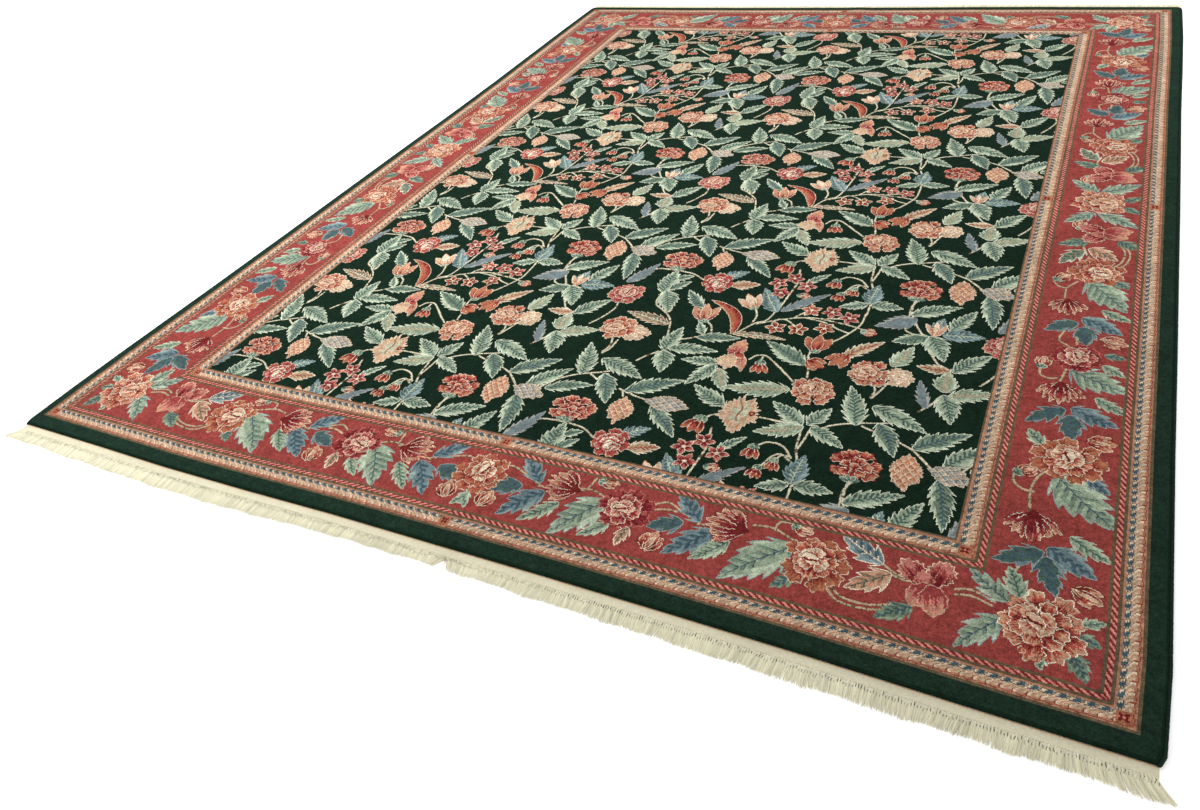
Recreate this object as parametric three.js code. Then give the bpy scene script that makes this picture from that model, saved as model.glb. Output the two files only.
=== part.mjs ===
// A large hand-knotted rug lying flat: a knotted pile, an overcast cord along each side,
// and at each end a flat-woven strip and a row of warp knots with a loose fringe.
// Millimetres, +X across the rug, +Y along it from its near end, +Z up. It rests on Z = 0.
import * as THREE from "three";

// Overall size of the carpet, at the widest and longest of its slightly uneven outline
const RUG_WIDTH = 2770;
const PILE_LENGTH = 3611;

// Pile: height, the level where it bulges widest, and how far its foot and shoulder draw in
const PILE_HEIGHT = 11;
const PILE_BULGE_HEIGHT = 6.5;
const FOOT_INSET = 1.5;
const SHOULDER_INSET = 4.5;

// Soft crease left by folding the rug lengthwise: place from the middle, height and half width
const CREASE_X = 58;
const CREASE_HEIGHT = 1.6;
const CREASE_HALF_WIDTH = 70;

// Corners are drawn in over their last stretch
const CORNER_PULL = 6;
const CORNER_REACH = 20;

// Overcast side cords
const CORD_WIDTH = 8;
const CORD_HEIGHT = 8.4;
const CORD_SIDES = 8;

// Flat-woven end strips
const KILIM_WIDTH = 21;
const KILIM_THICKNESS = 2.6;
const KILIM_SIDE_INSET = 4;

// Row of warp knots, and the locks of loose warp that hang from it
const KNOT_ROW_WIDTH = 7;
const KNOT_ROW_HEIGHT = 3;
const LOCKS_PER_END = 132;
const LOCK_ROOT_SHARE = 0.72;
const LOCK_TIP_SHARE = 0.4;
const LOCK_TIP_HEIGHT = 1.4;
const LOCK_SWAY = 2.4;
const LOCK_RAGGEDNESS = 3;
const LOCK_STEPS = [0.5, 1];

// Locks fan outwards at the corners: the last one's tip, and the share of the width that fans
const CORNER_FLARE = 27;
const CORNER_FLARE_REACH = 0.05;

// One lock has been lost near the middle of the near end, counted from the left
const MISSING_LOCK = 69;

// Clearance between pieces that lie against each other
const GAP = 0.3;

// Divisions of the carpet each way, and of each rounded corner
const GRID_STEPS = 20;
const CORNER_STEPS = [0.25, 0.55, 1];
const CREASE_STEPS = [-1, -0.5, 0.5, 1];

// How far each side edge draws in from its widest line, at fractions of the way along
const SIDE_ROWS = [
  { along: 0.0, left: 5, right: 11 },
  { along: 0.05, left: 2, right: 5 },
  { along: 0.1, left: 3, right: 5.5 },
  { along: 0.2, left: 10, right: 6 },
  { along: 0.3, left: 13.5, right: 4.5 },
  { along: 0.4, left: 14.5, right: 4 },
  { along: 0.5, left: 16, right: 3 },
  { along: 0.6, left: 20, right: 3 },
  { along: 0.7, left: 19, right: 3.5 },
  { along: 0.8, left: 12, right: 1 },
  { along: 0.9, left: 5.5, right: 0 },
  { along: 1.0, left: 3.5, right: 5 },
];

// How far the pile's end draws in, and how far strip, knots and fringe reach past it
const END_ROWS = [
  { across: 0.0, drawIn: 4, reach: 56 },
  { across: 0.1, drawIn: 3, reach: 62 },
  { across: 0.2, drawIn: 0, reach: 64 },
  { across: 0.3, drawIn: 3, reach: 64 },
  { across: 0.4, drawIn: 9, reach: 55 },
  { across: 0.5, drawIn: 10, reach: 52 },
  { across: 0.6, drawIn: 12, reach: 58 },
  { across: 0.7, drawIn: 12, reach: 60 },
  { across: 0.8, drawIn: 10, reach: 61 },
  { across: 0.9, drawIn: 5, reach: 58 },
  { across: 1.0, drawIn: 2, reach: 58 },
];

const COLOURS = {
  pile: { colour: 0x16291f, roughness: 0.95 },
  cord: { colour: 0x10201a, roughness: 0.95 },
  kilim: { colour: 0xd2ccaa, roughness: 0.95 },
  fringe: { colour: 0xdcd7b8, roughness: 0.95 },
};

const fabric = ({ colour, roughness }) =>
  new THREE.MeshStandardMaterial({ color: colour, roughness, metalness: 0 });

// Straight-line reading of one column of a table
function read(rows, key, column, at) {
  const next = Math.max(1, rows.findIndex((row) => row[key] >= at));
  const low = rows[next - 1];
  const high = rows[next];
  const share = (at - low[key]) / (high[key] - low[key]);
  return low[column] + (high[column] - low[column]) * share;
}

// Even spread of values from 0 to 1 that depends only on two whole numbers
function scatter(index, salt) {
  const value = Math.sin(index * 12.9898 + salt * 78.233) * 43758.5453;
  return value - Math.floor(value);
}

// The far end repeats the near end turned round, so its rows run the other way
const drawInAt = (across, end) => read(END_ROWS, "across", "drawIn", end > 0 ? 1 - across : across);
const reachAt = (across, end) => read(END_ROWS, "across", "reach", end > 0 ? 1 - across : across);

// Extra inward pull of a side edge close to a corner
function cornerPull(along) {
  const distance = Math.min(along, 1 - along) * PILE_LENGTH;
  return CORNER_PULL * Math.max(0, 1 - distance / CORNER_REACH) ** 2;
}

// Outer edge of the rug on one side, -1 for left and 1 for right
function sideEdge(side, along) {
  const drawIn = read(SIDE_ROWS, "along", side < 0 ? "left" : "right", along);
  return side * (RUG_WIDTH / 2 - drawIn - cornerPull(along));
}

// Line of the pile's foot at one end, -1 for near and 1 for far
const endEdge = (across, end) => end * (PILE_LENGTH / 2 - drawInAt(across, end));

// A point of the carpet from its fractions across and along, inset from the rug's outer edge
function planPoint(across, along, sideInset) {
  const left = sideEdge(-1, along) + sideInset;
  const right = sideEdge(1, along) - sideInset;
  const near = endEdge(across, -1);
  const far = endEdge(across, 1);
  return [left + (right - left) * across, near + (far - near) * along];
}

// Closed body from a list of points and a list of polygons that face outwards
function body(points, polygons) {
  const geometry = new THREE.BufferGeometry();
  geometry.setAttribute("position", new THREE.Float32BufferAttribute(points.flat(), 3));
  const triangles = polygons.flatMap((polygon) =>
    polygon.slice(2).map((corner, i) => [polygon[0], polygon[i + 1], corner])
  );
  geometry.setIndex(triangles.flat());
  geometry.computeVertexNormals();
  return geometry;
}

// Body between equal closed sections; each section runs anticlockwise seen from the last one
function loft(sections) {
  const sides = sections[0].length;
  const start = sections[0].map((_, i) => sides - 1 - i);
  const finish = sections[0].map((_, i) => (sections.length - 1) * sides + i);
  const walls = sections.slice(1).flatMap((_, s) =>
    sections[0].map((_, i) => {
      const next = (i + 1) % sides;
      return [s * sides + i, s * sides + next, (s + 1) * sides + next, (s + 1) * sides + i];
    })
  );
  return body(sections.flat(), [start, ...walls, finish]);
}

// Fractions along at which the side edges are sampled, closer together at the corners
function alongStations() {
  const corner = CORNER_STEPS.map((share) => (share * CORNER_REACH) / PILE_LENGTH);
  const even = Array.from({ length: GRID_STEPS + 1 }, (_, i) => i / GRID_STEPS);
  return [...even, ...corner, ...corner.map((value) => 1 - value)].sort((a, b) => a - b);
}

// Fractions across, with extra ones over the crease
function acrossStations() {
  const even = Array.from({ length: GRID_STEPS + 1 }, (_, i) => i / GRID_STEPS);
  const crease = CREASE_STEPS.map(
    (share) => 0.5 + (CREASE_X + share * CREASE_HALF_WIDTH) / RUG_WIDTH
  );
  return [...even, ...crease].sort((a, b) => a - b);
}

// Height of the pile's face, with the crease as a soft ridge
function pileTop(x) {
  const share = Math.min(1, Math.abs(x - CREASE_X) / CREASE_HALF_WIDTH);
  return PILE_HEIGHT + (CREASE_HEIGHT * (1 + Math.cos(Math.PI * share))) / 2;
}

// The knotted carpet: two matching grids, joined at the rim through the bulge level
function pileGeometry() {
  const across = acrossStations();
  const along = alongStations();
  const columns = across.length;
  const rows = along.length;
  const sideInset = CORD_WIDTH + GAP;
  const towardsMiddle = (i, count) => (i === 0 ? 1 : i === count - 1 ? -1 : 0);
  const points = [];

  const pointAt = (i, j, rimInset, z) => {
    const [x, y] = planPoint(across[i], along[j], sideInset);
    const px = x + towardsMiddle(i, columns) * rimInset;
    const py = y + towardsMiddle(j, rows) * rimInset;
    return [px, py, z ?? pileTop(px)];
  };
  const addGrid = (rimInset, z) => {
    const first = points.length;
    for (let j = 0; j < rows; j += 1) {
      for (let i = 0; i < columns; i += 1) {
        points.push(pointAt(i, j, rimInset, z));
      }
    }
    return first;
  };

  const rim = [];
  for (let i = 0; i < columns - 1; i += 1) {
    rim.push([i, 0]);
  }
  for (let j = 0; j < rows - 1; j += 1) {
    rim.push([columns - 1, j]);
  }
  for (let i = columns - 1; i > 0; i -= 1) {
    rim.push([i, rows - 1]);
  }
  for (let j = rows - 1; j > 0; j -= 1) {
    rim.push([0, j]);
  }

  const bottom = addGrid(FOOT_INSET, 0);
  const top = addGrid(SHOULDER_INSET);
  const bulge = points.length;
  rim.forEach(([i, j]) => points.push(pointAt(i, j, 0, PILE_BULGE_HEIGHT)));

  const polygons = [];
  const cell = (first, i, j) => first + j * columns + i;
  for (let j = 0; j < rows - 1; j += 1) {
    for (let i = 0; i < columns - 1; i += 1) {
      const square = (first) => [
        cell(first, i, j), cell(first, i + 1, j), cell(first, i + 1, j + 1), cell(first, i, j + 1),
      ];
      polygons.push(square(top), square(bottom).reverse());
    }
  }
  rim.forEach(([i, j], k) => {
    const after = (k + 1) % rim.length;
    const [ni, nj] = rim[after];
    polygons.push([cell(bottom, i, j), cell(bottom, ni, nj), bulge + after, bulge + k]);
    polygons.push([bulge + k, bulge + after, cell(top, ni, nj), cell(top, i, j)]);
  });
  return body(points, polygons);
}

// Overcast cord: an even-sided section with a flat underside, following one side edge
function cordGeometry(side) {
  const turn = (Math.PI * 2) / CORD_SIDES;
  const flat = Math.cos(turn / 2);
  const sections = alongStations().map((along) => {
    const [, y] = planPoint(side < 0 ? 0 : 1, along, 0);
    const x = sideEdge(side, along) - (side * CORD_WIDTH) / 2;
    return Array.from({ length: CORD_SIDES }, (_, i) => {
      const angle = -turn * (i + 0.5);
      return [
        x + (Math.cos(angle) / flat) * (CORD_WIDTH / 2),
        y,
        CORD_HEIGHT / 2 + (Math.sin(angle) / flat) * (CORD_HEIGHT / 2),
      ];
    });
  });
  return loft(sections);
}

// A point past the pile's end, at a fraction of the way from one side to the other
function endPoint(across, end, sideInset, offset) {
  const along = end < 0 ? 0 : 1;
  const left = sideEdge(-1, along) + sideInset;
  const right = sideEdge(1, along) - sideInset;
  return [left + (right - left) * across, endEdge(across, end) + end * offset];
}

// Flat-woven strip against the pile's foot
function kilimGeometry(end) {
  const sections = acrossStations().map((across) => {
    const [x, inner] = endPoint(across, end, KILIM_SIDE_INSET, GAP);
    const outer = inner + end * (KILIM_WIDTH - GAP);
    const low = Math.min(inner, outer);
    const high = Math.max(inner, outer);
    return [
      [x, low, 0],
      [x, high, 0],
      [x, high, KILIM_THICKNESS],
      [x, low, KILIM_THICKNESS],
    ];
  });
  return loft(sections);
}

// Sideways shift of a lock's tip: outwards at the corners, a gentle sway elsewhere
function tipShift(across, index, end) {
  const toLeft = Math.max(0, 1 - across / CORNER_FLARE_REACH) ** 1.5;
  const toRight = Math.max(0, 1 - (1 - across) / CORNER_FLARE_REACH) ** 1.5;
  return CORNER_FLARE * (toRight - toLeft) + LOCK_SWAY * (2 * scatter(index, 7 + end) - 1);
}

// Knot row with its locks: the row's outer wall opens into a four-sided lock at each root
function fringeGeometry(end) {
  const points = [];
  const polygons = [];
  const facing = (corners) => polygons.push(end < 0 ? corners : [...corners].reverse());
  const rowInner = KILIM_WIDTH + GAP;
  const rowOuter = KILIM_WIDTH + KNOT_ROW_WIDTH;

  // Four corners of the row at one place across: inner low, outer low, outer high, inner high
  const addRowSection = (across) => {
    const [x, inner] = endPoint(across, end, KILIM_SIDE_INSET, rowInner);
    const outer = endPoint(across, end, KILIM_SIDE_INSET, rowOuter)[1];
    points.push([x, inner, 0], [x, outer, 0], [x, outer, KNOT_ROW_HEIGHT], [x, inner, KNOT_ROW_HEIGHT]);
    return points.length - 4;
  };
  const joinRow = (a, b) => {
    facing([a, b, b + 1, a + 1]);
    facing([a + 3, a + 2, b + 2, b + 3]);
    facing([a, a + 3, b + 3, b]);
  };

  // One lock from its root on the outer wall to its tip on the ground
  const addLock = (a, b, index) => {
    const middle = (index + 0.5) / LOCKS_PER_END;
    const pitch = Math.abs(points[b][0] - points[a][0]) / LOCK_ROOT_SHARE;
    const ragged = LOCK_RAGGEDNESS * scatter(index, 3 + end);
    const length = reachAt(middle, end) - rowOuter - ragged;
    const shift = tipShift(middle, index, end);
    let previous = [a + 1, b + 1, b + 2, a + 2];
    LOCK_STEPS.forEach((share) => {
      const width = pitch * (LOCK_ROOT_SHARE + (LOCK_TIP_SHARE - LOCK_ROOT_SHARE) * share);
      const height = KNOT_ROW_HEIGHT + (LOCK_TIP_HEIGHT - KNOT_ROW_HEIGHT) * share;
      const x = (points[a][0] + points[b][0]) / 2 + shift * share ** 1.4;
      const y = (points[a + 1][1] + points[b + 1][1]) / 2 + end * length * share;
      const first = points.length;
      points.push([x - width / 2, y, 0], [x + width / 2, y, 0]);
      points.push([x + width / 2, y, height], [x - width / 2, y, height]);
      const next = [first, first + 1, first + 2, first + 3];
      previous.forEach((corner, i) => {
        const after = (i + 1) % 4;
        facing([corner, previous[after], next[after], next[i]]);
      });
      previous = next;
    });
    facing(previous);
  };

  const start = addRowSection(0);
  facing([start, start + 1, start + 2, start + 3]);
  let last = start;
  for (let index = 0; index < LOCKS_PER_END; index += 1) {
    const margin = (1 - LOCK_ROOT_SHARE) / 2;
    const a = addRowSection((index + margin) / LOCKS_PER_END);
    const b = addRowSection((index + 1 - margin) / LOCKS_PER_END);
    joinRow(last, a);
    facing([last + 1, a + 1, a + 2, last + 2]);
    joinRow(a, b);
    if (index === MISSING_LOCK && end < 0) {
      facing([a + 1, b + 1, b + 2, a + 2]);
    } else {
      addLock(a, b, index);
    }
    last = b;
  }
  const finish = addRowSection(1);
  joinRow(last, finish);
  facing([last + 1, finish + 1, finish + 2, last + 2]);
  facing([finish, finish + 3, finish + 2, finish + 1]);
  return body(points, polygons);
}

const rug = new THREE.Group();
rug.name = "rug";

function add(name, geometry, finish) {
  const mesh = new THREE.Mesh(geometry, fabric(finish));
  mesh.name = name;
  rug.add(mesh);
}

add("pile", pileGeometry(), COLOURS.pile);
add("side_cord_left", cordGeometry(-1), COLOURS.cord);
add("side_cord_right", cordGeometry(1), COLOURS.cord);
add("kilim_front", kilimGeometry(-1), COLOURS.kilim);
add("kilim_back", kilimGeometry(1), COLOURS.kilim);
add("fringe_front", fringeGeometry(-1), COLOURS.fringe);
add("fringe_back", fringeGeometry(1), COLOURS.fringe);

// The origin is the middle of the rug's footprint
const footprint = new THREE.Box3().setFromObject(rug).getCenter(new THREE.Vector3());
rug.position.set(-footprint.x, -footprint.y, 0);

export default rug;
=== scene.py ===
"""A large hand-knotted rug lying flat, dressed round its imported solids.

A wool pile knotted row by row from a chart, an overcast cord along each side, and at each end
a flat-woven cotton strip with a row of warp knots and a loose fringe. Blender units are metres.
"""

import math

import bpy
import numpy as np
from mathutils import Euler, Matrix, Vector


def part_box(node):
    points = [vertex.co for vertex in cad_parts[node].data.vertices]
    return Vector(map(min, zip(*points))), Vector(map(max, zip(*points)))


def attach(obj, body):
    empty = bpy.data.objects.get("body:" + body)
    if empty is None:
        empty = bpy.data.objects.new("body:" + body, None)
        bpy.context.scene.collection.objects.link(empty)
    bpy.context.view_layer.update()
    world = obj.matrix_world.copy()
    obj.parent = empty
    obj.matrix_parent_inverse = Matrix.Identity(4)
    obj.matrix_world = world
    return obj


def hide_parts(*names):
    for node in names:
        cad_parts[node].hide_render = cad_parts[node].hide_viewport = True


bl_info = {
    "name": "Knotted Floral Rug",
    "version": (1, 0, 0),
    "blender": (4, 5, 0),
    "location": "3D View > Sidebar > Rug",
    "description": "Builds a hand-knotted floral rug from a knot chart, with its cords, strips and fringes",
    "category": "Object",
}

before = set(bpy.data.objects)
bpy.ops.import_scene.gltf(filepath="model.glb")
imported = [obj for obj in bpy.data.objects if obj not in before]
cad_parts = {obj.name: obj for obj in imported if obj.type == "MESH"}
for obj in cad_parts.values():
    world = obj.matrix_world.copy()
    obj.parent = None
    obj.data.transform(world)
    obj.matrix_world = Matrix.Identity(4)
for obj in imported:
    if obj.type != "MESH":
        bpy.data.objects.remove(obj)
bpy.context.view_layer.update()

MM = 0.001

# Overall size of the carpet in millimetres, at the widest and longest of its uneven outline
RUG_WIDTH = 2770.0
PILE_LENGTH = 3611.0

# Soft crease left by folding the rug lengthwise: place from the middle, height and half width
CREASE_X = 58.0
CREASE_HEIGHT = 1.6
CREASE_HALF_WIDTH = 70.0

# Corners are drawn in over their last stretch
CORNER_PULL = 6.0
CORNER_REACH = 20.0

# Overcast side cords, tucked a little into the pile's edge, with the sides of a turn and of its yarn
CORD_WIDTH = 8.0
CORD_HEIGHT = 8.4
CORD_TUCK = 0.5
TURN_SIDES = 10
YARN_SIDES = 4

# Flat-woven end strips, with where one starts from the pile's foot and the ribs of weft across it
KILIM_WIDTH = 21.0
KILIM_THICKNESS = 2.6
KILIM_SIDE_INSET = 4.0
STRIP_START = -0.5
STRIP_ROWS = 16

# Weave of the strips: rise of the weft over each warp, rise of the warps, the thickness left for both,
# how far both edges round down as a share of the thickness, and waver of the outer edge
WEFT_RISE = 0.16
WARP_RISE = 0.12
WEAVE_RISE = 0.5
PILE_EDGE_DROP = 0.35
FRINGE_EDGE_DROP = 0.12
EDGE_WAVER = 0.35

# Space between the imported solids
GAP = 0.3

# Row of the fringe's roots: share of the width left free at each end, points along it, how far its
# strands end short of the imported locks, and the shortest strands that are kept
FRINGE_INSET = 0.0008
FRINGE_POINTS = 1800
FRINGE_SHORT = 0.8
SHORTEST_STRAND = 4.0

# Strands fan outwards at the corners: the last one's tip, and the share of the width that fans
CORNER_FLARE = 27.0
CORNER_FLARE_REACH = 0.05

# Camera and lamps in metres and degrees
CAMERA_PLACE = (1.0741, -2.7482, 1.3967)
CAMERA_ANGLES = (51.0446, 7.6086, 25.8319)
LAMPS = (
    # name, place, angles, breadth, share of the power
    ("Soft lamp", (-0.9, -0.5, 3.5), (33.0, 47.0, 0.0), 3.0, 1.0),
    ("Fill lamp", (2.0, 1.7, 2.0), (0.0, -30.0, 0.0), 2.0, 0.11),
)

# Floor in metres, a hair below the rug and wide enough to fill every view, and the glow of its paint
FLOOR_LEVEL = -0.0002
FLOOR_REACH = 60.0
FLOOR_GLOW = 0.22
VIEW_REACH = 300.0
WHITE = (1.0, 1.0, 1.0, 1.0)
FLOOR_WHITE = (0.99, 0.99, 0.99, 1.0)

# The near fringe is parted where a lock is lost: place across, half width at the tips, how far it is felt
PARTING = 0.5217
PARTING_LEAN = 19.0
PARTING_REACH = 20.0

# How far each side edge draws in from its widest line: fraction along, left, right
SIDE_ROWS = (
    (0.0, 5, 11),
    (0.05, 2, 5),
    (0.1, 3, 5.5),
    (0.2, 10, 6),
    (0.3, 13.5, 4.5),
    (0.4, 14.5, 4),
    (0.5, 16, 3),
    (0.6, 20, 3),
    (0.7, 19, 3.5),
    (0.8, 12, 1),
    (0.9, 5.5, 0),
    (1.0, 3.5, 5),
)

# How far the pile's end draws in, and how far strip and fringe reach past it: fraction across, both
END_ROWS = (
    (0.0, 4, 56),
    (0.1, 3, 62),
    (0.2, 0, 64),
    (0.3, 3, 64),
    (0.4, 9, 55),
    (0.5, 10, 52),
    (0.6, 12, 58),
    (0.7, 12, 60),
    (0.8, 10, 61),
    (0.9, 5, 58),
    (1.0, 2, 58),
)

# Section of the pile's rim from its face down to its foot, for a pile of the height named after it:
# inset from the bulge, height
RIM_ROWS = (
    (2.7, 10.4),
    (1.1, 9.3),
    (0.25, 7.9),
    (0.0, 6.5),
    (0.35, 3.4),
    (1.1, 1.0),
    (1.9, 0.0),
)
RIM_TOP = 11.0
SHOULDER_INSET = 4.5

# Unevenness of the pile's face, and how far its outermost points drop
FACE_UNEVEN = 0.35
FACE_DROP = 0.35

# Bake map: shares of its width for the pile's face and back, height of the back, foot and span of the rim
FACE_SHARE = 0.76
BACK_SHARE = 0.22
BACK_TOP = 0.3
RIM_FOOT = 0.32
RIM_SPAN = 0.67

# The chart is woven in blocks. One face of the pile carries one block of knots, in numbers that have one
# digit for each knot, and a digit has this many values
KNOT = 2.0
BLOCK = 8
BLOCKS_ACROSS = 171
BLOCKS_ALONG = 224
DIGIT = 32

# Pattern in millimetres: outer guard's outline, its middle, guards and the red ground between them
PATTERN_WIDTH = 2686.0
PATTERN_LENGTH = 3517.0
PATTERN_SHIFT = -3.0
GUARD = 63.0
SIDE_GROUND = 204.0
END_GROUND = 190.0

# Field repeat, and the place in the pattern where the top left corner of one repeat falls
REPEAT_WIDTH = 1014.0
REPEAT_LENGTH = 714.0
REPEAT_LEFT = 1330.0
REPEAT_TOP = 1130.0

# Wools of the pile, as the sRGB values that a dyer would match, from 0 to 255
YARNS = {
    "forest": (20, 37, 27), "margin": (30, 48, 38), "red": (140, 63, 58), "deep red": (102, 36, 32),
    "rust": (142, 72, 54), "orange": (164, 104, 77), "salmon": (184, 137, 109), "peach": (194, 163, 136),
    "pale peach": (210, 190, 164), "cream": (220, 210, 186), "wine": (104, 32, 37),
    "magenta": (140, 60, 59), "rose pink": (180, 113, 101), "coral": (156, 73, 60),
    "navy": (65, 85, 93), "steel": (104, 122, 126), "pale steel": (132, 150, 148),
    "pine": (70, 90, 82), "moss": (110, 127, 108), "sage": (142, 156, 133),
    "light sage": (172, 183, 159), "pale sage": (204, 209, 185), "heather": (112, 118, 118),
    "pale heather": (152, 154, 148), "tan": (138, 112, 90), "light tan": (178, 154, 126),
    "stem": (198, 192, 166), "clay": (164, 118, 94), "olive": (96, 82, 62),
    "beige": (190, 162, 134), "rope pink": (204, 132, 118), "rope red": (118, 42, 42),
}
NUMBER = {name: number for number, name in enumerate(YARNS)}

# Wool of the cords and cotton of the ends in the same values, and the strip's first wefts, whose darker
# tan right at the pile's foot is painted shade under the pile's edge: share of its width, colour
CORD_WOOL = (27, 47, 36)
STRIP_COTTON = (220, 213, 186)
FRINGE_COTTON = (235, 230, 202)
SHADED_WEFT_LINE = ((0.0, (168, 132, 92)), (0.06, (222, 178, 128)), (0.14, (226, 206, 168)))
SHADED_WEFT_LINE_END = 0.26

# Width of one stroke of a petal's hatching
HATCH = 2.4

# Weights and stretch of the even spread that varies leaves and petals
SCATTER_WEIGHTS = (12.9898, 78.233, 37.719)
SCATTER_STRETCH = 43758.5453


def scatter(*numbers):
    """An even spread of values from 0 to 1, the same for the same numbers."""
    total = sum(np.asarray(number, float) * weight for number, weight in zip(numbers, SCATTER_WEIGHTS))
    value = np.sin(total) * SCATTER_STRETCH
    return value - np.floor(value)


class Chart:
    """Yarn numbers for a cloth of knots, a row of them for each row of knots."""

    def __init__(self, width, length, ground, repeats=False):
        self.yarns = np.full((round(length / KNOT), round(width / KNOT)), NUMBER[ground], np.uint8)
        self.repeats = repeats

    def knots_near(self, x, y, reach):
        """Columns and rows of the knots within reach of a place, and their offsets from it."""
        rows_total, columns_total = self.yarns.shape
        columns = np.arange(int((x - reach) // KNOT), int((x + reach) // KNOT) + 1)
        rows = np.arange(int((y - reach) // KNOT), int((y + reach) // KNOT) + 1)
        if not self.repeats:
            columns = columns[(columns >= 0) & (columns < columns_total)]
            rows = rows[(rows >= 0) & (rows < rows_total)]
        across, along = np.meshgrid((columns + 0.5) * KNOT - x, (rows + 0.5) * KNOT - y)
        columns, rows = np.meshgrid(columns % columns_total, rows % rows_total)
        return columns, rows, across, along

    def middle(self):
        """The middle of the pattern, in millimetres from the chart's corner."""
        rows, columns = self.yarns.shape
        return columns * KNOT / 2 + PATTERN_SHIFT, rows * KNOT / 2

    def paint(self, where, yarn):
        """Gives one yarn to the knots of a mask as large as the chart."""
        self.yarns[where] = NUMBER[yarn]

    def copy(self, other, x, y, where):
        """Takes the yarns at x, y of another chart for the knots of a mask."""
        rows, columns = other.yarns.shape
        column = np.floor(x / KNOT).astype(int) % columns
        row = np.floor(y / KNOT).astype(int) % rows
        self.yarns[where] = other.yarns[row, column][where]


def inner(mask, knots=1):
    """The mask without its outermost knots."""
    for _ in range(knots):
        core = mask.copy()
        core[1:] &= mask[:-1]
        core[:-1] &= mask[1:]
        core[:, 1:] &= mask[:, :-1]
        core[:, :-1] &= mask[:, 1:]
        mask = core
    return mask


def rotated(ahead, aside, turn):
    """Offsets read in a frame turned by so many degrees."""
    c, s = np.cos(np.radians(turn)), np.sin(np.radians(turn))
    return ahead * c + aside * s, aside * c - ahead * s


class Motif:
    """The knots round one place in the motif's own frame: u ahead and v to the left, in its millimetres."""

    def __init__(self, chart, x, y, turn, size, reach):
        self.chart = chart
        self.size = size
        self.seed = round(x) + 3 * round(y)
        self.columns, self.rows, across, along = chart.knots_near(x, y, reach * size)
        self.u, self.v = (offset / size for offset in rotated(across, along, turn))

    def fill(self, where, yarn):
        """Gives one yarn to the motif's knots under a mask."""
        self.chart.yarns[self.rows[where], self.columns[where]] = NUMBER[yarn]

    def petal(self, at, turn, length, width, tones, fullness=0.5, lead=1.0, ruffle=0.0, lobes=5, bend=0.0,
              rim=1, depth=0.45, seam=None):
        """A petal from its foot: a pale rim, a body, and hatched shade that grows from the foot.

        Fullness rounds it, lead moves its widest place, lobes and ruffle notch its edge, depth is the
        share that the shade covers, and a seam darkens the knots round it.
        """
        u, v = rotated(self.u - at[0], self.v - at[1], turn)
        middle = 0.55 * length
        tooth = (lobes * np.arctan2(v, u - middle) / math.tau + scatter(turn, self.seed)) % 1
        swell = 1 - ruffle * np.abs(2 * tooth - 1)
        u = middle + (u - middle) / swell
        v = v / swell
        t = np.clip(u / length, 0, 1)
        v = v - bend * length * t * t
        half = width / 2 * np.sin(np.pi * t ** lead) ** fullness
        inside = (u > 0) & (u < length) & (np.abs(v) < half)
        core = inner(inside, rim)
        stroke = scatter(np.floor(v * self.size / HATCH), self.seed, turn)
        edge, body, shade, deep = tones
        if seam:
            self.fill(~inner(~inside) & (scatter(np.floor((u + v) / 7), self.seed, turn) < 0.75), seam)
        self.fill(inside, edge)
        self.fill(inside & (scatter(np.floor((u - v) / 6), turn, self.seed) < 0.22), shade)
        self.fill(core, body)
        self.fill(core & (t < depth + 0.5 * (stroke - 0.5)), shade)
        self.fill(core & (t < 0.66 * depth + 0.4 * (stroke - 0.5)), deep)
        return inside


LEAF_TONES = {
    # rim, light strokes, blade, dark strokes, rib
    "sage": ("pale sage", "light sage", "sage", "pine", "pine"),
    "soft": ("light sage", "light sage", "sage", "moss", "pine"),
    "blue": ("pale sage", "light sage", "moss", "pine", "navy"),
    "green": ("pale sage", "light sage", "moss", "pine", "pine"),
    "deep": ("moss", "sage", "moss", "pine", "navy"),
    "heather": ("pale heather", "pale heather", "heather", "steel", "steel"),
    "tan": ("pale peach", "light tan", "tan", "pine", "stem"),
    "warm": ("pale sage", "light sage", "sage", "moss", "light tan"),
    "peach": ("cream", "peach", "light tan", "tan", "rust"),
    "dusk": ("pale steel", "pale steel", "steel", "pine", "light sage"),
    "navy": ("pale steel", "steel", "pine", "navy", "navy"),
    "steel": ("pale steel", "pale steel", "steel", "navy", "navy"),
    "veined": ("pale steel", "light sage", "sage", "moss", "navy"),
    "lit blue": ("cream", "pale steel", "steel", "navy", "pale peach"),
    "lit peach": ("cream", "peach", "salmon", "tan", "pine"),
    "lit green": ("cream", "light sage", "moss", "pine", "tan"),
}


def span(foot, tip):
    """The turn in degrees and the length of the line from foot to tip."""
    across, along = tip[0] - foot[0], tip[1] - foot[1]
    return np.degrees(np.arctan2(along, across)), np.hypot(across, along)


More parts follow.
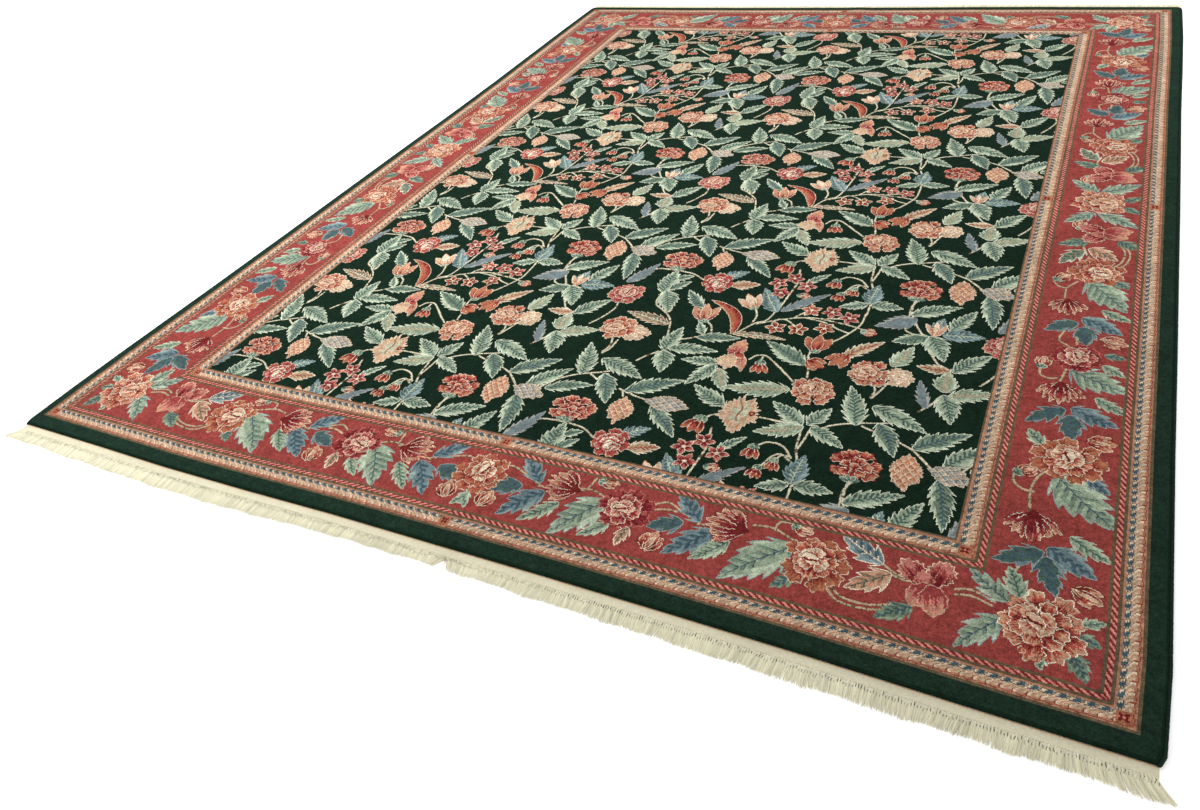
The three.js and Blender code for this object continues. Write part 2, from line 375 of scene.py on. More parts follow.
def leaf(chart, foot, tip, width, kind, bend, lobe):
    """A sharply toothed leaf: a pale rim, a light blade, and darker strokes that run out from the rib."""
    rim, light, body, vein, rib = LEAF_TONES[kind]
    turn, length = span(foot, tip)
    length *= 1.06
    m = Motif(chart, *foot, turn, 1.0, length * 1.15)
    t = np.clip(m.u / length, 0, 1)
    aside = m.v - bend * length * (t * t - 0.3 * t)
    left = aside > 0
    aside = np.abs(aside)
    pitch = lobe * (11 + 0.04 * length)
    teeth = (m.u - 0.65 * aside) / pitch + np.where(left, 0.4, 0.0) + scatter(m.seed)
    notch = 1 - teeth + np.floor(teeth)
    half = 1.7 * width * t ** 0.75 * (1 - t) ** 1.15
    bite = (0.65 + 0.35 * scatter(np.floor(teeth), m.seed)) * np.minimum(0.6 * pitch, 0.75 * half)
    inside = (m.u > 0) & (m.u < length) & (aside < half * 1.16 + 2.0 - bite * notch)
    core = inner(inside)
    vein_pitch = max(9.0, 0.6 * pitch)
    veins = (m.u - 0.8 * aside) / vein_pitch + np.where(left, 0.4, 0)
    stroke = scatter(np.floor(veins), m.seed, np.where(left, 1, 0))
    fine = veins - np.floor(veins)
    lit = left if m.seed % 2 else ~left
    m.fill(inside, rim)
    m.fill(core, light)
    m.fill(core & (aside < half * (0.55 + 0.6 * stroke) * np.where(lit, 0.8, 1.3)), body)
    m.fill(core & (aside < half * (0.2 + 0.9 * stroke) * np.where(lit, 0.6, 1.1)) & (fine < 0.55), vein)
    m.fill(core & (aside < half * (0.05 + 0.6 * stroke)) & (fine * vein_pitch < 3.2), rib)
    m.fill(core & (aside < 1.2) & (t < 0.86), rib)


def stalk(chart, *points, width=6.2, tones=("stem", "olive")):
    """A smooth stalk through its points: a dark line, and over it a pale one with gaps."""
    knots = np.array(points, float)
    ends = np.vstack([2 * knots[0] - knots[1], knots, 2 * knots[-1] - knots[-2]])
    route = []
    for a, b, c, d in zip(ends, ends[1:], ends[2:], ends[3:]):
        t = np.linspace(0, 1, max(2, int(np.hypot(*(c - b)))), endpoint=False)[:, None]
        route.append(0.5 * (2 * b + (c - a) * t + (2 * a - 5 * b + 4 * c - d) * t ** 2
                            + (3 * b - a - 3 * c + d) * t ** 3))
    route = np.vstack(route)
    rows_total, columns_total = chart.yarns.shape
    bark = scatter(np.arange(len(route)) // 5, len(route))
    pale, dark = tones
    lit = 0.8
    for yarn, lift, half in ((dark, 0.0, width / 2), (pale, lit, width / 2 - lit)):
        for across in range(-2, 3):
            for along in range(-2, 3):
                columns = np.floor(route[:, 0] / KNOT).astype(int) + across
                rows = np.floor((route[:, 1] + lift) / KNOT).astype(int) + along
                aside = (columns + 0.5) * KNOT - route[:, 0]
                above = (rows + 0.5) * KNOT - route[:, 1] - lift
                near = np.hypot(aside, above) < half
                if not chart.repeats:
                    near &= (columns >= 0) & (columns < columns_total) & (rows >= 0) & (rows < rows_total)
                near &= (yarn == dark) | (bark > 0.2)
                chart.yarns[rows[near] % rows_total, columns[near] % columns_total] = NUMBER[yarn]


# Yarns of petals that several flowers share: rim, body, shade and dark foot
PINK = ("pale peach", "rose pink", "magenta", "wine")
SALMON = ("cream", "salmon", "coral", "deep red")
BRICK = ("pale peach", "orange", "coral", "deep red")
BLUSH = ("pale peach", "salmon", "coral", "deep red")
SEPAL = ("light sage", "moss", "pine", "pine")

ROSE_TONES = {
    # outer petals, middle petals, heart
    "salmon": (SALMON, ("cream", "salmon", "orange", "deep red"), ("cream", "peach", "orange", "wine")),
    "pale": (("cream", "beige", "light tan", "tan"), ("cream", "peach", "light tan", "salmon"),
             ("cream", "pale peach", "salmon", "orange")),
    "magenta": (PINK, PINK, ("cream", "peach", "rose pink", "wine")),
    "wine": (("rose pink", "magenta", "wine", "wine"), PINK, ("cream", "peach", "salmon", "wine")),
    "brick": (BRICK, BRICK, ("cream", "pale peach", "coral", "deep red")),
    "corner": (SALMON, SALMON, ("cream", "peach", "salmon", "deep red")),
    "cream heart": (("pale peach", "orange", "rust", "deep red"), BLUSH,
                    ("cream", "pale peach", "peach", "wine")),
    "cream": (("cream", "peach", "salmon", "orange"), ("cream", "pale peach", "salmon", "coral"),
              ("cream", "pale peach", "salmon", "wine")),
    "red heart": (("pale peach", "coral", "magenta", "wine"), ("cream", "rose pink", "magenta", "wine"),
                  ("cream", "cream", "pale peach", "orange")),
}
STAR_TONES = {
    "coral": PINK,
    "pale": ("cream", "orange", "rust", "deep red"),
    "peach": ("cream", "salmon", "coral", "rust"),
}


def sepals(m, foot, angles, length, width):
    """Pointed green sepals from one foot behind a bloom."""
    for angle in angles:
        m.petal((foot, 0), angle, length, width, SEPAL, fullness=0.7)


def ring(m, heart, count, start, length, width, tones, phase, **more):
    """A ring of ruffled petals round the heart of a flower, each a little off its even place and size."""
    order = np.argsort(scatter(np.arange(count), m.seed, 5))
    for number in order:
        turn = (number + phase) * 360 / count + 130 / count * (scatter(number, m.seed, count) - 0.5)
        reach = length * (0.86 + 0.28 * scatter(number, m.seed, length))
        place = np.radians(turn)
        at = (heart[0] + start * np.cos(place), heart[1] + start * np.sin(place))
        m.petal(at, turn, reach, width * (0.88 + 0.24 * scatter(number, m.seed)), tones, **more)


def rose(chart, x, y, radius, kind, turn):
    """A full rose: loose rings of jagged petals round a folded oval heart that leans to one side."""
    lean = 8.0
    outer, middle, heart = ROSE_TONES[kind]
    m = Motif(chart, x, y, turn, radius / 50, 72)
    dark = middle[3]
    more = 2 if radius > 60 else 0
    ring(m, (0, 0), 7 + more, 12, 45, 43 - 5 * more, outer, 0.0,
         ruffle=0.25, lobes=7, fullness=0.75, lead=1.7, depth=0.68)
    ring(m, (lean * 0.5, 0), 6 + more, 8, 32, 34 - 3 * more, middle, 0.4,
         ruffle=0.2, lobes=7, fullness=0.75, lead=1.6, depth=0.7, seam=dark)
    edge, body, shade, deep = heart
    ring(m, (lean, 0), 4, 2, 24, 30, (edge, body, middle[1], middle[2]), 0.1,
         ruffle=0.2, lobes=7, fullness=0.55, lead=1.4, depth=0.7, seam=middle[2])
    m.petal((lean - 15, -2), 6, 34, 20, (edge, body, body, shade),
            ruffle=0.16, lobes=9, fullness=0.6, depth=0.5, seam=dark)
    fold = m.v + 2 + 3 * np.sin((m.u - lean) / 5)
    m.fill((np.abs(fold) < 2.2) & (np.abs(m.u - lean - 2) < 11), deep)


def carnation(chart, x, y, radius):
    """A half-open bloom seen from its side: ruffled petals with wine-red hollows, over green sepals."""
    m = Motif(chart, x, y, 90.0, radius / 50, 84)
    m.u *= 1.15
    tones = ("pale peach", "salmon", "coral", "wine")
    m.fill(np.hypot(m.u, m.v) < 26, "wine")
    ring(m, (0, 0), 7, 14, 40, 40, tones, 0.5,
         ruffle=0.24, lobes=7, fullness=0.8, lead=1.9, depth=0.8, seam="wine")
    ring(m, (-6, 0), 5, 4, 30, 32, tones, 0.0,
         ruffle=0.24, lobes=5, fullness=0.75, lead=1.8, depth=0.75, seam="wine")
    m.petal((-18, 0), 0, 30, 24, tones, ruffle=0.24, lobes=5, fullness=0.7, depth=0.6, seam="wine")
    sepals(m, -54, (-58, -20, 20, 58), 24, 12)


def cone_bloom(chart, foot, tip, width, tones):
    """A hanging bloom of small overlapping scales that ends in several points."""
    turn, length = span(foot, tip)
    m = Motif(chart, *foot, turn, 1.0, length * 1.1)
    edge, body, shade, line = tones
    whole = np.zeros(m.u.shape, bool)
    spread = np.degrees(0.6 * width / length)
    for share, reach in ((-1, 0.7), (1, 0.74), (-0.5, 0.88), (0.5, 0.84), (0, 1.0)):
        whole |= m.petal((0, 0), share * spread, length * reach, width * 0.55, (edge, body, body, body),
                         fullness=0.75, lead=1.3, ruffle=0.24, lobes=13)
    core = inner(whole)
    m.fill(core, body)
    scale_length, scale_width = 24, 17
    rise = m.u / scale_length + m.v / scale_width
    fall = m.u / scale_length - m.v / scale_width
    front = np.maximum(rise - np.floor(rise), fall - np.floor(fall))
    behind = np.minimum(rise - np.floor(rise), fall - np.floor(fall))
    chance = scatter(np.floor(rise), np.floor(fall), m.seed)
    m.fill(core & (behind < 0.25 + 0.4 * chance), shade)
    m.fill(core & (behind < 0.1 + 0.25 * chance), line)
    m.fill(core & (front > 0.88) & (chance > 0.25), edge)


def tulip(chart, foot, tip, width, kind, cap):
    """A cup of pointed petals on its stalk's end, the middle one in front."""
    outer, middle, _ = ROSE_TONES[kind]
    turn, length = span(foot, tip)
    m = Motif(chart, *foot, turn, 1.0, length * 1.2)
    for angle, reach in ((-26, 0.95), (26, 0.93)):
        m.petal((0, 0), angle, length * reach, width * 0.56, outer, fullness=0.8, ruffle=0.1)
    m.petal((0, 0), 0, length, width * 0.56, middle, fullness=0.85, lead=0.95, depth=0.4, seam=outer[3])
    if cap:
        sepals(m, -3, (-50, 0, 50), length * 0.22, width * 0.18)


def star(chart, x, y, turn, radius, kind):
    """A five-pointed flower."""
    m = Motif(chart, x, y, turn, radius / 24, 28)
    for number in range(5):
        m.petal((0, 0), number * 72, 26, 16, STAR_TONES[kind],
                fullness=0.85, lead=0.9, depth=0.6, ruffle=0.12)
    m.fill(np.hypot(m.u, m.v) < 4.0, "pale peach")


def berry(chart, foot, tip):
    """A hanging flower of three pointed petals under a toothed green cap."""
    turn, length = span(foot, tip)
    m = Motif(chart, *foot, turn, length / 44, 52)
    for angle in (-24, 24, 0):
        m.petal((4, 0), angle, 38, 14, BRICK, fullness=0.8, lead=1.3, depth=0.8)
    sepals(m, -3, (-34, 0, 34), 18, 9)


def plume(chart, foot, tip, width, bend):
    """A long red petal that curls over, feathered along its outer edge."""
    turn, length = span(foot, tip)
    m = Motif(chart, *foot, turn, 1.0, length * 1.3)
    t = np.clip(m.u / length, 0, 1)
    v = m.v - bend * length * 4 * t * (1 - t)
    wave = np.abs((t * 9) % 1 - 0.5) * 4
    half = width / 2 * np.sin(np.pi * np.clip(t ** 0.8, 0, 1)) ** 0.6
    inside = (m.u > 0) & (m.u < length) & (v < half + wave) & (v > -half)
    core = inner(inside)
    stroke = scatter(np.floor((m.u + v) / 3.0), m.seed)
    m.fill(inside, "pale peach")
    m.fill(core, "coral")
    m.fill(core & (v > half * (0.7 - stroke)), "orange")
    m.fill(core & (v < half * (-0.9 + 1.0 * stroke)), "deep red")


def poppy(chart, x, y, turn, radius):
    """A beige six-cornered bloom with a brown crease down from a notch, and a small red eye."""
    m = Motif(chart, x, y, turn, radius / 50, 66)
    tall = 0.84 * m.v
    angle = np.degrees(np.arctan2(tall, m.u))
    corner = np.abs((angle + 12 * np.sin(angle / 40)) % 60 - 30)
    tooth = np.abs((angle / 15) % 1 - 0.5) * (0.4 + scatter(np.floor(angle / 15), m.seed))
    away = np.hypot(1.12 * m.u, tall)
    edge = (47 + 4 * np.cos(np.radians(3 * angle + 90))) / np.cos(np.radians(30 - corner)) - 16 * tooth
    edge -= 22 * np.clip(1 - np.abs(angle - 84) / 14, 0, 1)
    edge -= 9 * np.clip(1 - np.abs(np.abs(angle + 88) - 52) / 32, 0, 1)
    edge += 13 * np.clip(1 - np.abs(angle + 88) / 26, 0, 1)
    inside = away < edge
    core = inner(inside)
    stroke = scatter(np.floor(angle / 6), m.seed)
    m.fill(inside, "pale peach")
    m.fill(core, "light tan")
    m.fill(core & (away > edge * (0.4 + 0.6 * stroke)), "beige")
    m.fill(core & (away < edge * 0.7 * stroke), "light sage")
    m.fill(core & (np.abs(away / edge - stroke) < 0.1), "salmon")
    crease = m.u - 4 * np.sin(m.v / 9) + 0.16 * m.v
    m.fill(core & (np.abs(crease) < 2.4) & (m.v > -26), "tan")
    m.fill(core & (np.abs(crease) < 1.2) & (np.abs(m.v - 4) < 18), "rust")
    eye = np.hypot(m.u - 26, m.v - 4)
    m.fill(eye < 8.5, "salmon")
    m.fill((eye < 7) & (eye > 3), "deep red")


def iris(chart, x, y, turn, size):
    """A drooping bloom: jagged beige falls, and rose petals that stand up and hang behind them."""
    m = Motif(chart, x, y, turn, size, 96)
    falls = ("pale peach", "beige", "light tan", "salmon")
    tall = ("pale peach", "salmon", "rose pink", "magenta")
    m.petal((6, -10), 156, 92, 54, tall, ruffle=0.14, lobes=11, fullness=0.8, lead=0.9, depth=0.55)
    for angle, reach, width in ((-38, 66, 38), (14, 70, 38), (-12, 78, 42)):
        m.petal((-14, -4), angle, reach, width, falls,
                ruffle=0.26, lobes=9, fullness=0.6, lead=1.3, depth=0.35)
    m.petal((-22, 14), 12, 96, 30, tall,
            ruffle=0.14, lobes=13, fullness=0.85, lead=0.9, depth=0.5, bend=-0.12)
    m.petal((-20, 2), 40, 38, 24, ("pale peach", "coral", "magenta", "wine"), fullness=0.6)


def orchid(chart, x, y, turn):
    """Two jagged standing petals with dark streaks and a smaller one between, over a two-petalled lip."""
    m = Motif(chart, x, y, turn, 1.0, 110)
    for aside, angle, length, depth in ((-2, -44, 88, 0.62), (2, 14, 86, 0.55)):
        m.petal((-16, aside), angle, length, 58, PINK,
                ruffle=0.2, lobes=13, fullness=0.75, lead=1.2, depth=depth)
    m.petal((-26, -4), -16, 58, 42, ("salmon", "rose pink", "magenta", "wine"),
            ruffle=0.2, lobes=11, fullness=0.7, depth=0.5)
    for angle, length in ((204, 72), (168, 80)):
        m.petal((2, 2), angle, length, 56, ("peach", "salmon", "rose pink", "magenta"),
                ruffle=0.1, lobes=9, fullness=0.7, depth=0.75)


def lily(chart, foot, tip):
    """A wide-open bloom of pointed petals with pale edges and dark streaks at the foot."""
    width = 124
    turn, length = span(foot, tip)
    m = Motif(chart, *foot, turn, length / 80, 92)
    spread = np.degrees(np.arctan2(width / 2, length)) * 1.25
    tones = ("pale peach", "salmon", "magenta", "wine")
    for share in (-1.0, 1.0, -0.62, 0.62, -0.3, 0.3, 0.0):
        reach = 80 * (1.02 - 0.16 * abs(share)) * (0.94 + 0.12 * scatter(share, m.seed))
        m.petal((0, 0), share * spread, reach, 25, tones,
                ruffle=0.22, lobes=13, fullness=0.85, lead=1.3, depth=0.75, seam="wine")
    for share in (-0.5, 0.0, 0.5):
        m.petal((-3, 0), share * spread, 34, 9, ("deep red", "deep red", "wine", "wine"), fullness=0.7)


def bud(chart, foot, tip, width, cap):
    """A closed bud of folded petals, pale at its edges."""
    turn, length = span(foot, tip)
    m = Motif(chart, *foot, turn, 1.0, length * 1.2)
    for angle, reach in ((-22, 0.86), (22, 0.86), (0, 1.0)):
        m.petal((0, 0), angle, length * reach, width * 0.62, BLUSH,
                fullness=0.7, lead=1.1, depth=0.7, ruffle=0.1, lobes=9, seam="deep red")
    front = ("pale peach", "peach", "orange", "rust")
    m.petal((length * 0.1, 0), 0, length * 0.7, width * 0.28, front, fullness=0.7)
    if cap:
        sepals(m, -5, (-42, 42, 0), length * 0.42, width * 0.3)


# Stalks of the field, as places across and down the repeat
FIELD_STALKS = (
    ((22, 205), (26, 240), (8, 290), (-12, 325)),
    ((125, 118), (130, 185), (165, 215), (200, 255), (220, 320)),
    ((132, 118), (180, 195), (178, 225)),
    ((296, 232), (318, 252), (327, 275)),
    ((404, 140), (420, 180), (418, 215)),
    ((390, 275), (425, 215), (452, 190), (464, 130), (470, 70), (478, -14)),
    ((462, -70), (470, -30), (476, 10)),
    ((432, 214), (500, 172), (560, 152), (625, 156), (680, 166), (712, 178)),
    ((480, 180), (500, 178), (530, 200)),
    ((545, 156), (600, 165), (640, 186), (668, 196)),
    ((585, 150), (625, 140), (640, 136)),
    ((515, 165), (530, 140), (545, 128)),
    ((688, 56), (690, 110), (686, 160), (655, 222), (622, 262)),
    ((598, 296), (600, 330), (612, 375), (618, 405)),
    ((225, 320), (262, 330), (298, 310), (322, 292)),
    ((225, 398), (200, 430), (186, 452)),
    ((85, 375), (92, 410), (84, 440)),
    ((102, 378), (98, 420), (86, 445)),
    ((-20, 650), (2, 610), (25, 578), (60, 552), (105, 530), (150, 505)),
    ((95, 535), (120, 552), (140, 560)),
    ((195, 572), (235, 585), (275, 594)),
    ((205, 575), (216, 598)),
    ((120, 728), (60, 735), (20, 765), (0, 790)),
    ((128, 712), (126, 740), (124, 760)),
    ((130, 728), (175, 735), (215, 760)),
    ((462, 370), (475, 348), (500, 345), (530, 370), (560, 400), (590, 428)),
    ((492, 350), (492, 372)),
    ((655, 582), (660, 620), (665, 660), (684, 720), (686, 770)),
    ((556, 578), (600, 580), (650, 578)),
    ((662, 692), (636, 662), (600, 656), (578, 676)),
    ((664, 704), (640, 688), (622, 700), (606, 740)),
    ((655, 690), (640, 690), (632, 712)),
    ((700, 576), (720, 560), (762, 540), (832, 516)),
    ((676, 590), (672, 630), (666, 668)),
    ((768, 378), (780, 410), (776, 438)),
    ((802, 372), (790, 410), (778, 440)),
    ((806, 712), (792, 755), (794, 794), (798, 860), (846, 880)),
    ((796, -6), (796, 60), (815, 110), (846, 165)),
    ((850, 186), (875, 230), (905, 276), (932, 300)),
    ((928, 388), (910, 424), (888, 456)),
    ((868, 574), (900, 590), (930, 618), (956, 645)),
    ((780, 545), (800, 552), (815, 556)),
    ((700, 20), (684, 56)),
    ((465, 592), (445, 604), (436, 618)),
    ((260, 322), (238, 372)),
)

# Leaves of the field: foot across and down, tip across and down, width, kind
FIELD_LEAVES = (
    (0, 105, 63, 2, 46, "heather"),
    (128, 132, 116, 18, 62, "sage"),
    (138, 112, 178, 60, 34, "green"),
    (134, 120, 182, 210, 62, "sage"),
    (264, 174, 194, 110, 42, "blue"),
    (202, 273, 80, 238, 50, "tan"),
    (304, 56, 372, 28, 48, "peach"),
    (464, 148, 395, 54, 52, "dusk"),
    (474, 142, 566, 34, 38, "heather"),
    (500, 714, 543, 654, 28, "sage"),
    (686, 768, 684, 680, 56, "dusk"),
    (682, 770, 620, 802, 40, "sage"),
    (690, 772, 768, 764, 46, "sage"),
    (598, 357, 492, 278, 64, "green"),
    (674, 302, 750, 210, 44, "peach"),
    (392, 405, 302, 408, 44, "sage"),
    (388, 412, 350, 506, 50, "sage"),
    (400, 425, 436, 508, 46, "warm"),
    (592, 458, 446, 502, 66, "warm"),
    (798, 305, 836, 220, 52, "warm"),
    (816, 92, 732, 150, 62, "heather"),
    (798, 78, 902, 12, 52, "sage"),
    (904, 128, 942, 28, 50, "sage"),
    (888, 146, 980, 126, 56, "dusk"),
    (858, 160, 784, 206, 52, "green"),
    (860, 156, 914, 244, 66, "sage"),
    (868, 154, 874, 78, 46, "dusk"),
    (932, 286, 858, 292, 40, "peach"),
    (936, 290, 1002, 200, 54, "sage"),
    (930, 372, 924, 294, 60, "warm"),
    (940, 386, 1036, 342, 52, "warm"),
    (930, 380, 966, 472, 62, "sage"),
    (902, 440, 866, 350, 34, "heather"),
    (76, 545, 48, 412, 60, "sage"),
    (98, 468, 226, 506, 62, "sage"),
    (8, 622, 114, 572, 46, "green"),
    (130, 524, 188, 624, 60, "blue"),
    (210, 576, 327, 492, 60, "blue"),
    (296, 612, 392, 692, 50, "blue"),
    (766, 545, 736, 412, 62, "sage"),
    (788, 468, 914, 514, 62, "sage"),
    (812, 524, 870, 614, 56, "blue"),
    (898, 586, 996, 497, 60, "blue"),
    (968, 626, 1046, 528, 54, "sage"),
    (966, 662, 1006, 796, 56, "blue"),
    (466, 562, 368, 514, 54, "sage"),
    (268, 732, 324, 688, 42, "dusk"),
    (655, 580, 578, 512, 52, "sage"),
    (666, 576, 696, 503, 48, "sage"),
    (660, 584, 566, 634, 54, "warm"),
    (674, 582, 756, 620, 46, "sage"),
    (312, 292, 280, 248, 30, "sage"),
    (300, 312, 402, 282, 46, "green"),
    (384, 270, 516, 256, 28, "tan"),
    (236, 388, 240, 282, 56, "sage"),
    (244, 376, 364, 350, 50, "sage"),
    (238, 388, 270, 474, 60, "sage"),
    (140, 770, 176, 744, 30, "green"),
)

# Cups of the field: foot, tip, width, kind, with a green cup
FIELD_TULIPS = (
    ((290, 240), (272, 152), 58, "salmon", True),
    ((404, 148), (362, 82), 50, "cream", True),
    ((608, 298), (604, 218), 58, "brick", True),
    ((598, 332), (646, 356), 56, "brick", False),
    ((690, 286), (652, 342), 52, "brick", False),
    ((872, 158), (866, 92), 30, "cream", False),
)
FIELD_STARS = (
    ((550, 118), "peach"),
    ((605, 115), "coral"),
    ((655, 130), "coral"),
    ((605, 190), "pale"),
    ((483, 218), "pale"),
    ((540, 212), "pale"),
    ((462, 693), "coral"),
    ((425, 725), "coral"),
    ((505, 725), "coral"),
    ((445, 770), "coral"),
)
FIELD_BUDS = (
    ((700, 178), (738, 182), 34),
    ((496, 772), (530, 770), 26),
)
FIELD_BERRIES = (
    ((575, 672), (574, 724)),
    ((630, 704), (632, 748)),
    ((604, 734), (598, 780)),
    ((492, 368), (502, 424)),
    ((430, 612), (414, 678)),
)
PEACH_CONE = ("pale peach", "peach", "salmon", "orange")
HEATHER_CONE = ("pale peach", "light tan", "pale heather", "heather")
FIELD_CONES = (
    ((224, 592), (238, 706), 62, PEACH_CONE),
    ((266, 594), (398, 594), 56, HEATHER_CONE),
    ((896, 598), (903, 728), 66, PEACH_CONE),
    ((936, 634), (1044, 656), 56, HEATHER_CONE),
)

# Roses of the field: place, radius, kind, turn
FIELD_ROSES = (
    ((818, 343), 42, "pale", 0),
    ((132, 334), 42, "pale", 0),
    ((752, 345), 56, "salmon", 160),
    ((76, 325), 56, "salmon", 200),
    ((645, 450), 57, "salmon", 100),
    ((26, 160), 56, "magenta", 100),
    ((258, 45), 52, "red heart", 250),
)

# Border motifs stand by their distance in from the side, then from the end, of the outer guard
BORDER_STALKS = (
    ((216, 228), (214, 280), (192, 318), (174, 334)),
    ((210, 440), (214, 496), (204, 540), (186, 566)),
    ((250, 536), (248, 512), (230, 494), (208, 492)),
    ((150, 690), (158, 700), (166, 720)),
    ((194, 868), (188, 900), (184, 925)),
    ((240, 918), (236, 886), (214, 876), (194, 886)),
    ((202, 1076), (210, 1036), (186, 1012)),
    ((176, 1076), (172, 1040), (168, 1014)),
    ((214, 1224), (212, 1272), (190, 1310)),
    ((246, 1298), (232, 1276), (210, 1270)),
    ((106, 1530), (88, 1480), (94, 1430), (114, 1396)),
    ((92, 1520), (76, 1478), (82, 1426), (104, 1392)),
    ((176, 1528), (190, 1500), (184, 1474), (168, 1424)),
    ((1310, 214), (1282, 222), (1250, 212), (1194, 188)),
    ((1194, 184), (1150, 190), (1110, 196)),
    ((1078, 246), (1084, 208), (1098, 200)),
    ((1098, 206), (1066, 208), (1024, 192)),
    ((928, 208), (898, 226), (870, 216), (816, 192)),
    ((922, 196), (890, 206), (866, 206)),
    ((816, 188), (770, 194), (730, 200)),
    ((706, 222), (666, 226), (612, 206)),
    ((662, 224), (658, 246), (630, 254)),
    ((534, 132), (498, 104), (450, 102), (402, 120)),
    ((534, 120), (500, 92), (446, 92), (398, 110)),
    ((442, 206), (418, 192), (392, 188)),
    ((428, 188), (402, 182), (380, 184)),
    ((310, 192), (282, 200), (240, 186)),
    ((308, 180), (280, 186), (244, 176)),
)

# Border leaves: foot in from side and end, tip in from side and end, width, kind
BORDER_LEAVES = (
    (218, 196, 292, 244, 52, "veined"),
    (202, 210, 222, 278, 48, "soft"),
    (222, 158, 292, 76, 62, "veined"),
    (98, 184, 66, 204, 28, "soft"),
    (102, 160, 68, 150, 30, "deep"),
    (112, 122, 80, 72, 42, "deep"),
    (156, 100, 154, 70, 24, "soft"),
    (170, 348, 84, 306, 66, "steel"),
    (174, 336, 252, 286, 58, "navy"),
    (170, 326, 152, 238, 58, "navy"),
    (134, 390, 66, 342, 42, "soft"),
    (172, 556, 68, 428, 104, "veined"),
    (114, 566, 78, 526, 38, "steel"),
    (206, 640, 240, 682, 38, "soft"),
    (162, 782, 76, 734, 64, "steel"),
    (174, 774, 248, 718, 56, "navy"),
    (162, 756, 150, 674, 62, "navy"),
    (118, 830, 58, 782, 40, "soft"),
    (176, 920, 60, 858, 92, "veined"),
    (110, 996, 66, 996, 30, "deep"),
    (112, 954, 64, 926, 34, "soft"),
    (168, 1142, 78, 1098, 66, "steel"),
    (174, 1118, 246, 1078, 54, "navy"),
    (162, 1104, 146, 1030, 60, "navy"),
    (126, 1186, 64, 1146, 38, "soft"),
    (166, 1316, 68, 1202, 104, "veined"),
    (102, 1330, 74, 1300, 42, "deep"),
    (186, 1474, 244, 1402, 56, "lit green"),
    (176, 1486, 104, 1442, 62, "lit peach"),
    (106, 1542, 56, 1502, 48, "deep"),
    (176, 1530, 248, 1490, 50, "deep"),
    (176, 1694, 240, 1622, 54, "veined"),
    (166, 1692, 64, 1634, 66, "veined"),
    (98, 1742, 66, 1706, 36, "deep"),
    (1366, 132, 1322, 78, 38, "soft"),
    (1194, 196, 1270, 258, 52, "steel"),
    (1230, 174, 1300, 146, 60, "navy"),
    (1172, 172, 1246, 86, 70, "steel"),
    (1126, 152, 1182, 76, 44, "soft"),
    (1024, 192, 1112, 74, 94, "veined"),
    (994, 132, 1038, 78, 38, "soft"),
    (950, 134, 960, 82, 34, "lit peach"),
    (814, 194, 876, 258, 52, "steel"),
    (846, 184, 910, 146, 56, "navy"),
    (776, 182, 848, 90, 70, "steel"),
    (738, 164, 792, 94, 44, "soft"),
    (612, 196, 730, 82, 98, "veined"),
    (586, 126, 628, 86, 38, "deep"),
    (442, 208, 532, 250, 58, "lit blue"),
    (424, 190, 490, 126, 58, "lit peach"),
    (374, 128, 426, 78, 46, "deep"),
)

# Border buds: foot, tip, width, with a green cup
BORDER_BUDS = (
    ((122, 264), (66, 240), 42, False),
    ((126, 676), (62, 682), 48, False),
    ((124, 1060), (60, 1048), 48, False),
    ((1298, 84), (1284, 138), 52, False),
    ((894, 84), (884, 144), 52, False),
    ((246, 540), (206, 566), 38, True),
    ((238, 916), (232, 962), 36, True),
    ((242, 1306), (208, 1344), 38, True),
    ((1066, 242), (1016, 244), 36, True),
    ((628, 250), (584, 236), 36, True),
    ((202, 1590), (212, 1640), 44, True),
)
BORDER_LILIES = (
    ((202, 440), (200, 352)),
    ((190, 870), (188, 784)),
    ((206, 1220), (202, 1146)),
    ((1098, 198), (1190, 206)),
    ((712, 200), (806, 212)),
)

# Border roses: place, radius, kind, turn
BORDER_ROSES = (
    ((160, 160), 70, "corner", 40),
    ((154, 604), 66, "cream heart", 90),
    ((166, 970), 52, "wine", 90),
    ((150, 1368), 64, "cream heart", 200),
    ((978, 180), 56, "wine", 0),
    ((562, 170), 64, "cream heart", 20),
)

# Guards from their outer edge inwards: stripes up to each depth, and where rope, wave and leaves lie
ROPE_PITCH = 16.2
LEAF_PITCH = 21.0
STAR_SQUARE = 14.0
OUTER_GUARD = {
    "stripes": ((6, "olive"), (40.5, "clay"), (46.5, "olive"), (56.5, "rope red"), (63, "olive")),
    "wave": 10.0,
    "leaves": (13.0, 36.0),
    "rope": (46.5, 56.5),
}
INNER_GUARD = {
    "stripes": ((5.5, "olive"), (15.5, "rope red"), (21.5, "olive"), (60, "clay"), (63, "olive")),
    "wave": 24.5,
    "leaves": (27.5, 54.0),
    "rope": (5.5, 15.5),
}

# How far the weaving drifts off the even chart: height from the middle; across at the left, in the
# middle and at the right; along at the left and at the right
FIELD_DRIFT = (
    (-1200, -20, -8, 2, -4, 0),
    (-810, -20, -8, -3, -4, -4),
    (-565, -12, -8, 0, 13, 2),
    (-320, -12, -5, -3, 16, 0),
    (-75, -8, -5, -6, 4, -2),
    (170, -13, -8, -9, 0, -13),
    (415, -14, -9, -15, 0, -14),
    (660, -16, -9, -16, 10, 0),
    (905, -12, -6, -12, 34, 22),
    (1200, -18, -9, -14, 36, 19),
)
DRIFT_REACH = 800.0

# Leaves and roses are knotted a little smaller than the spaces charted for them
FIELD_LEAF_SHARE = 0.9
FIELD_ROSE_SHARE = 0.87
BORDER_LEAF_SHARE = 0.93

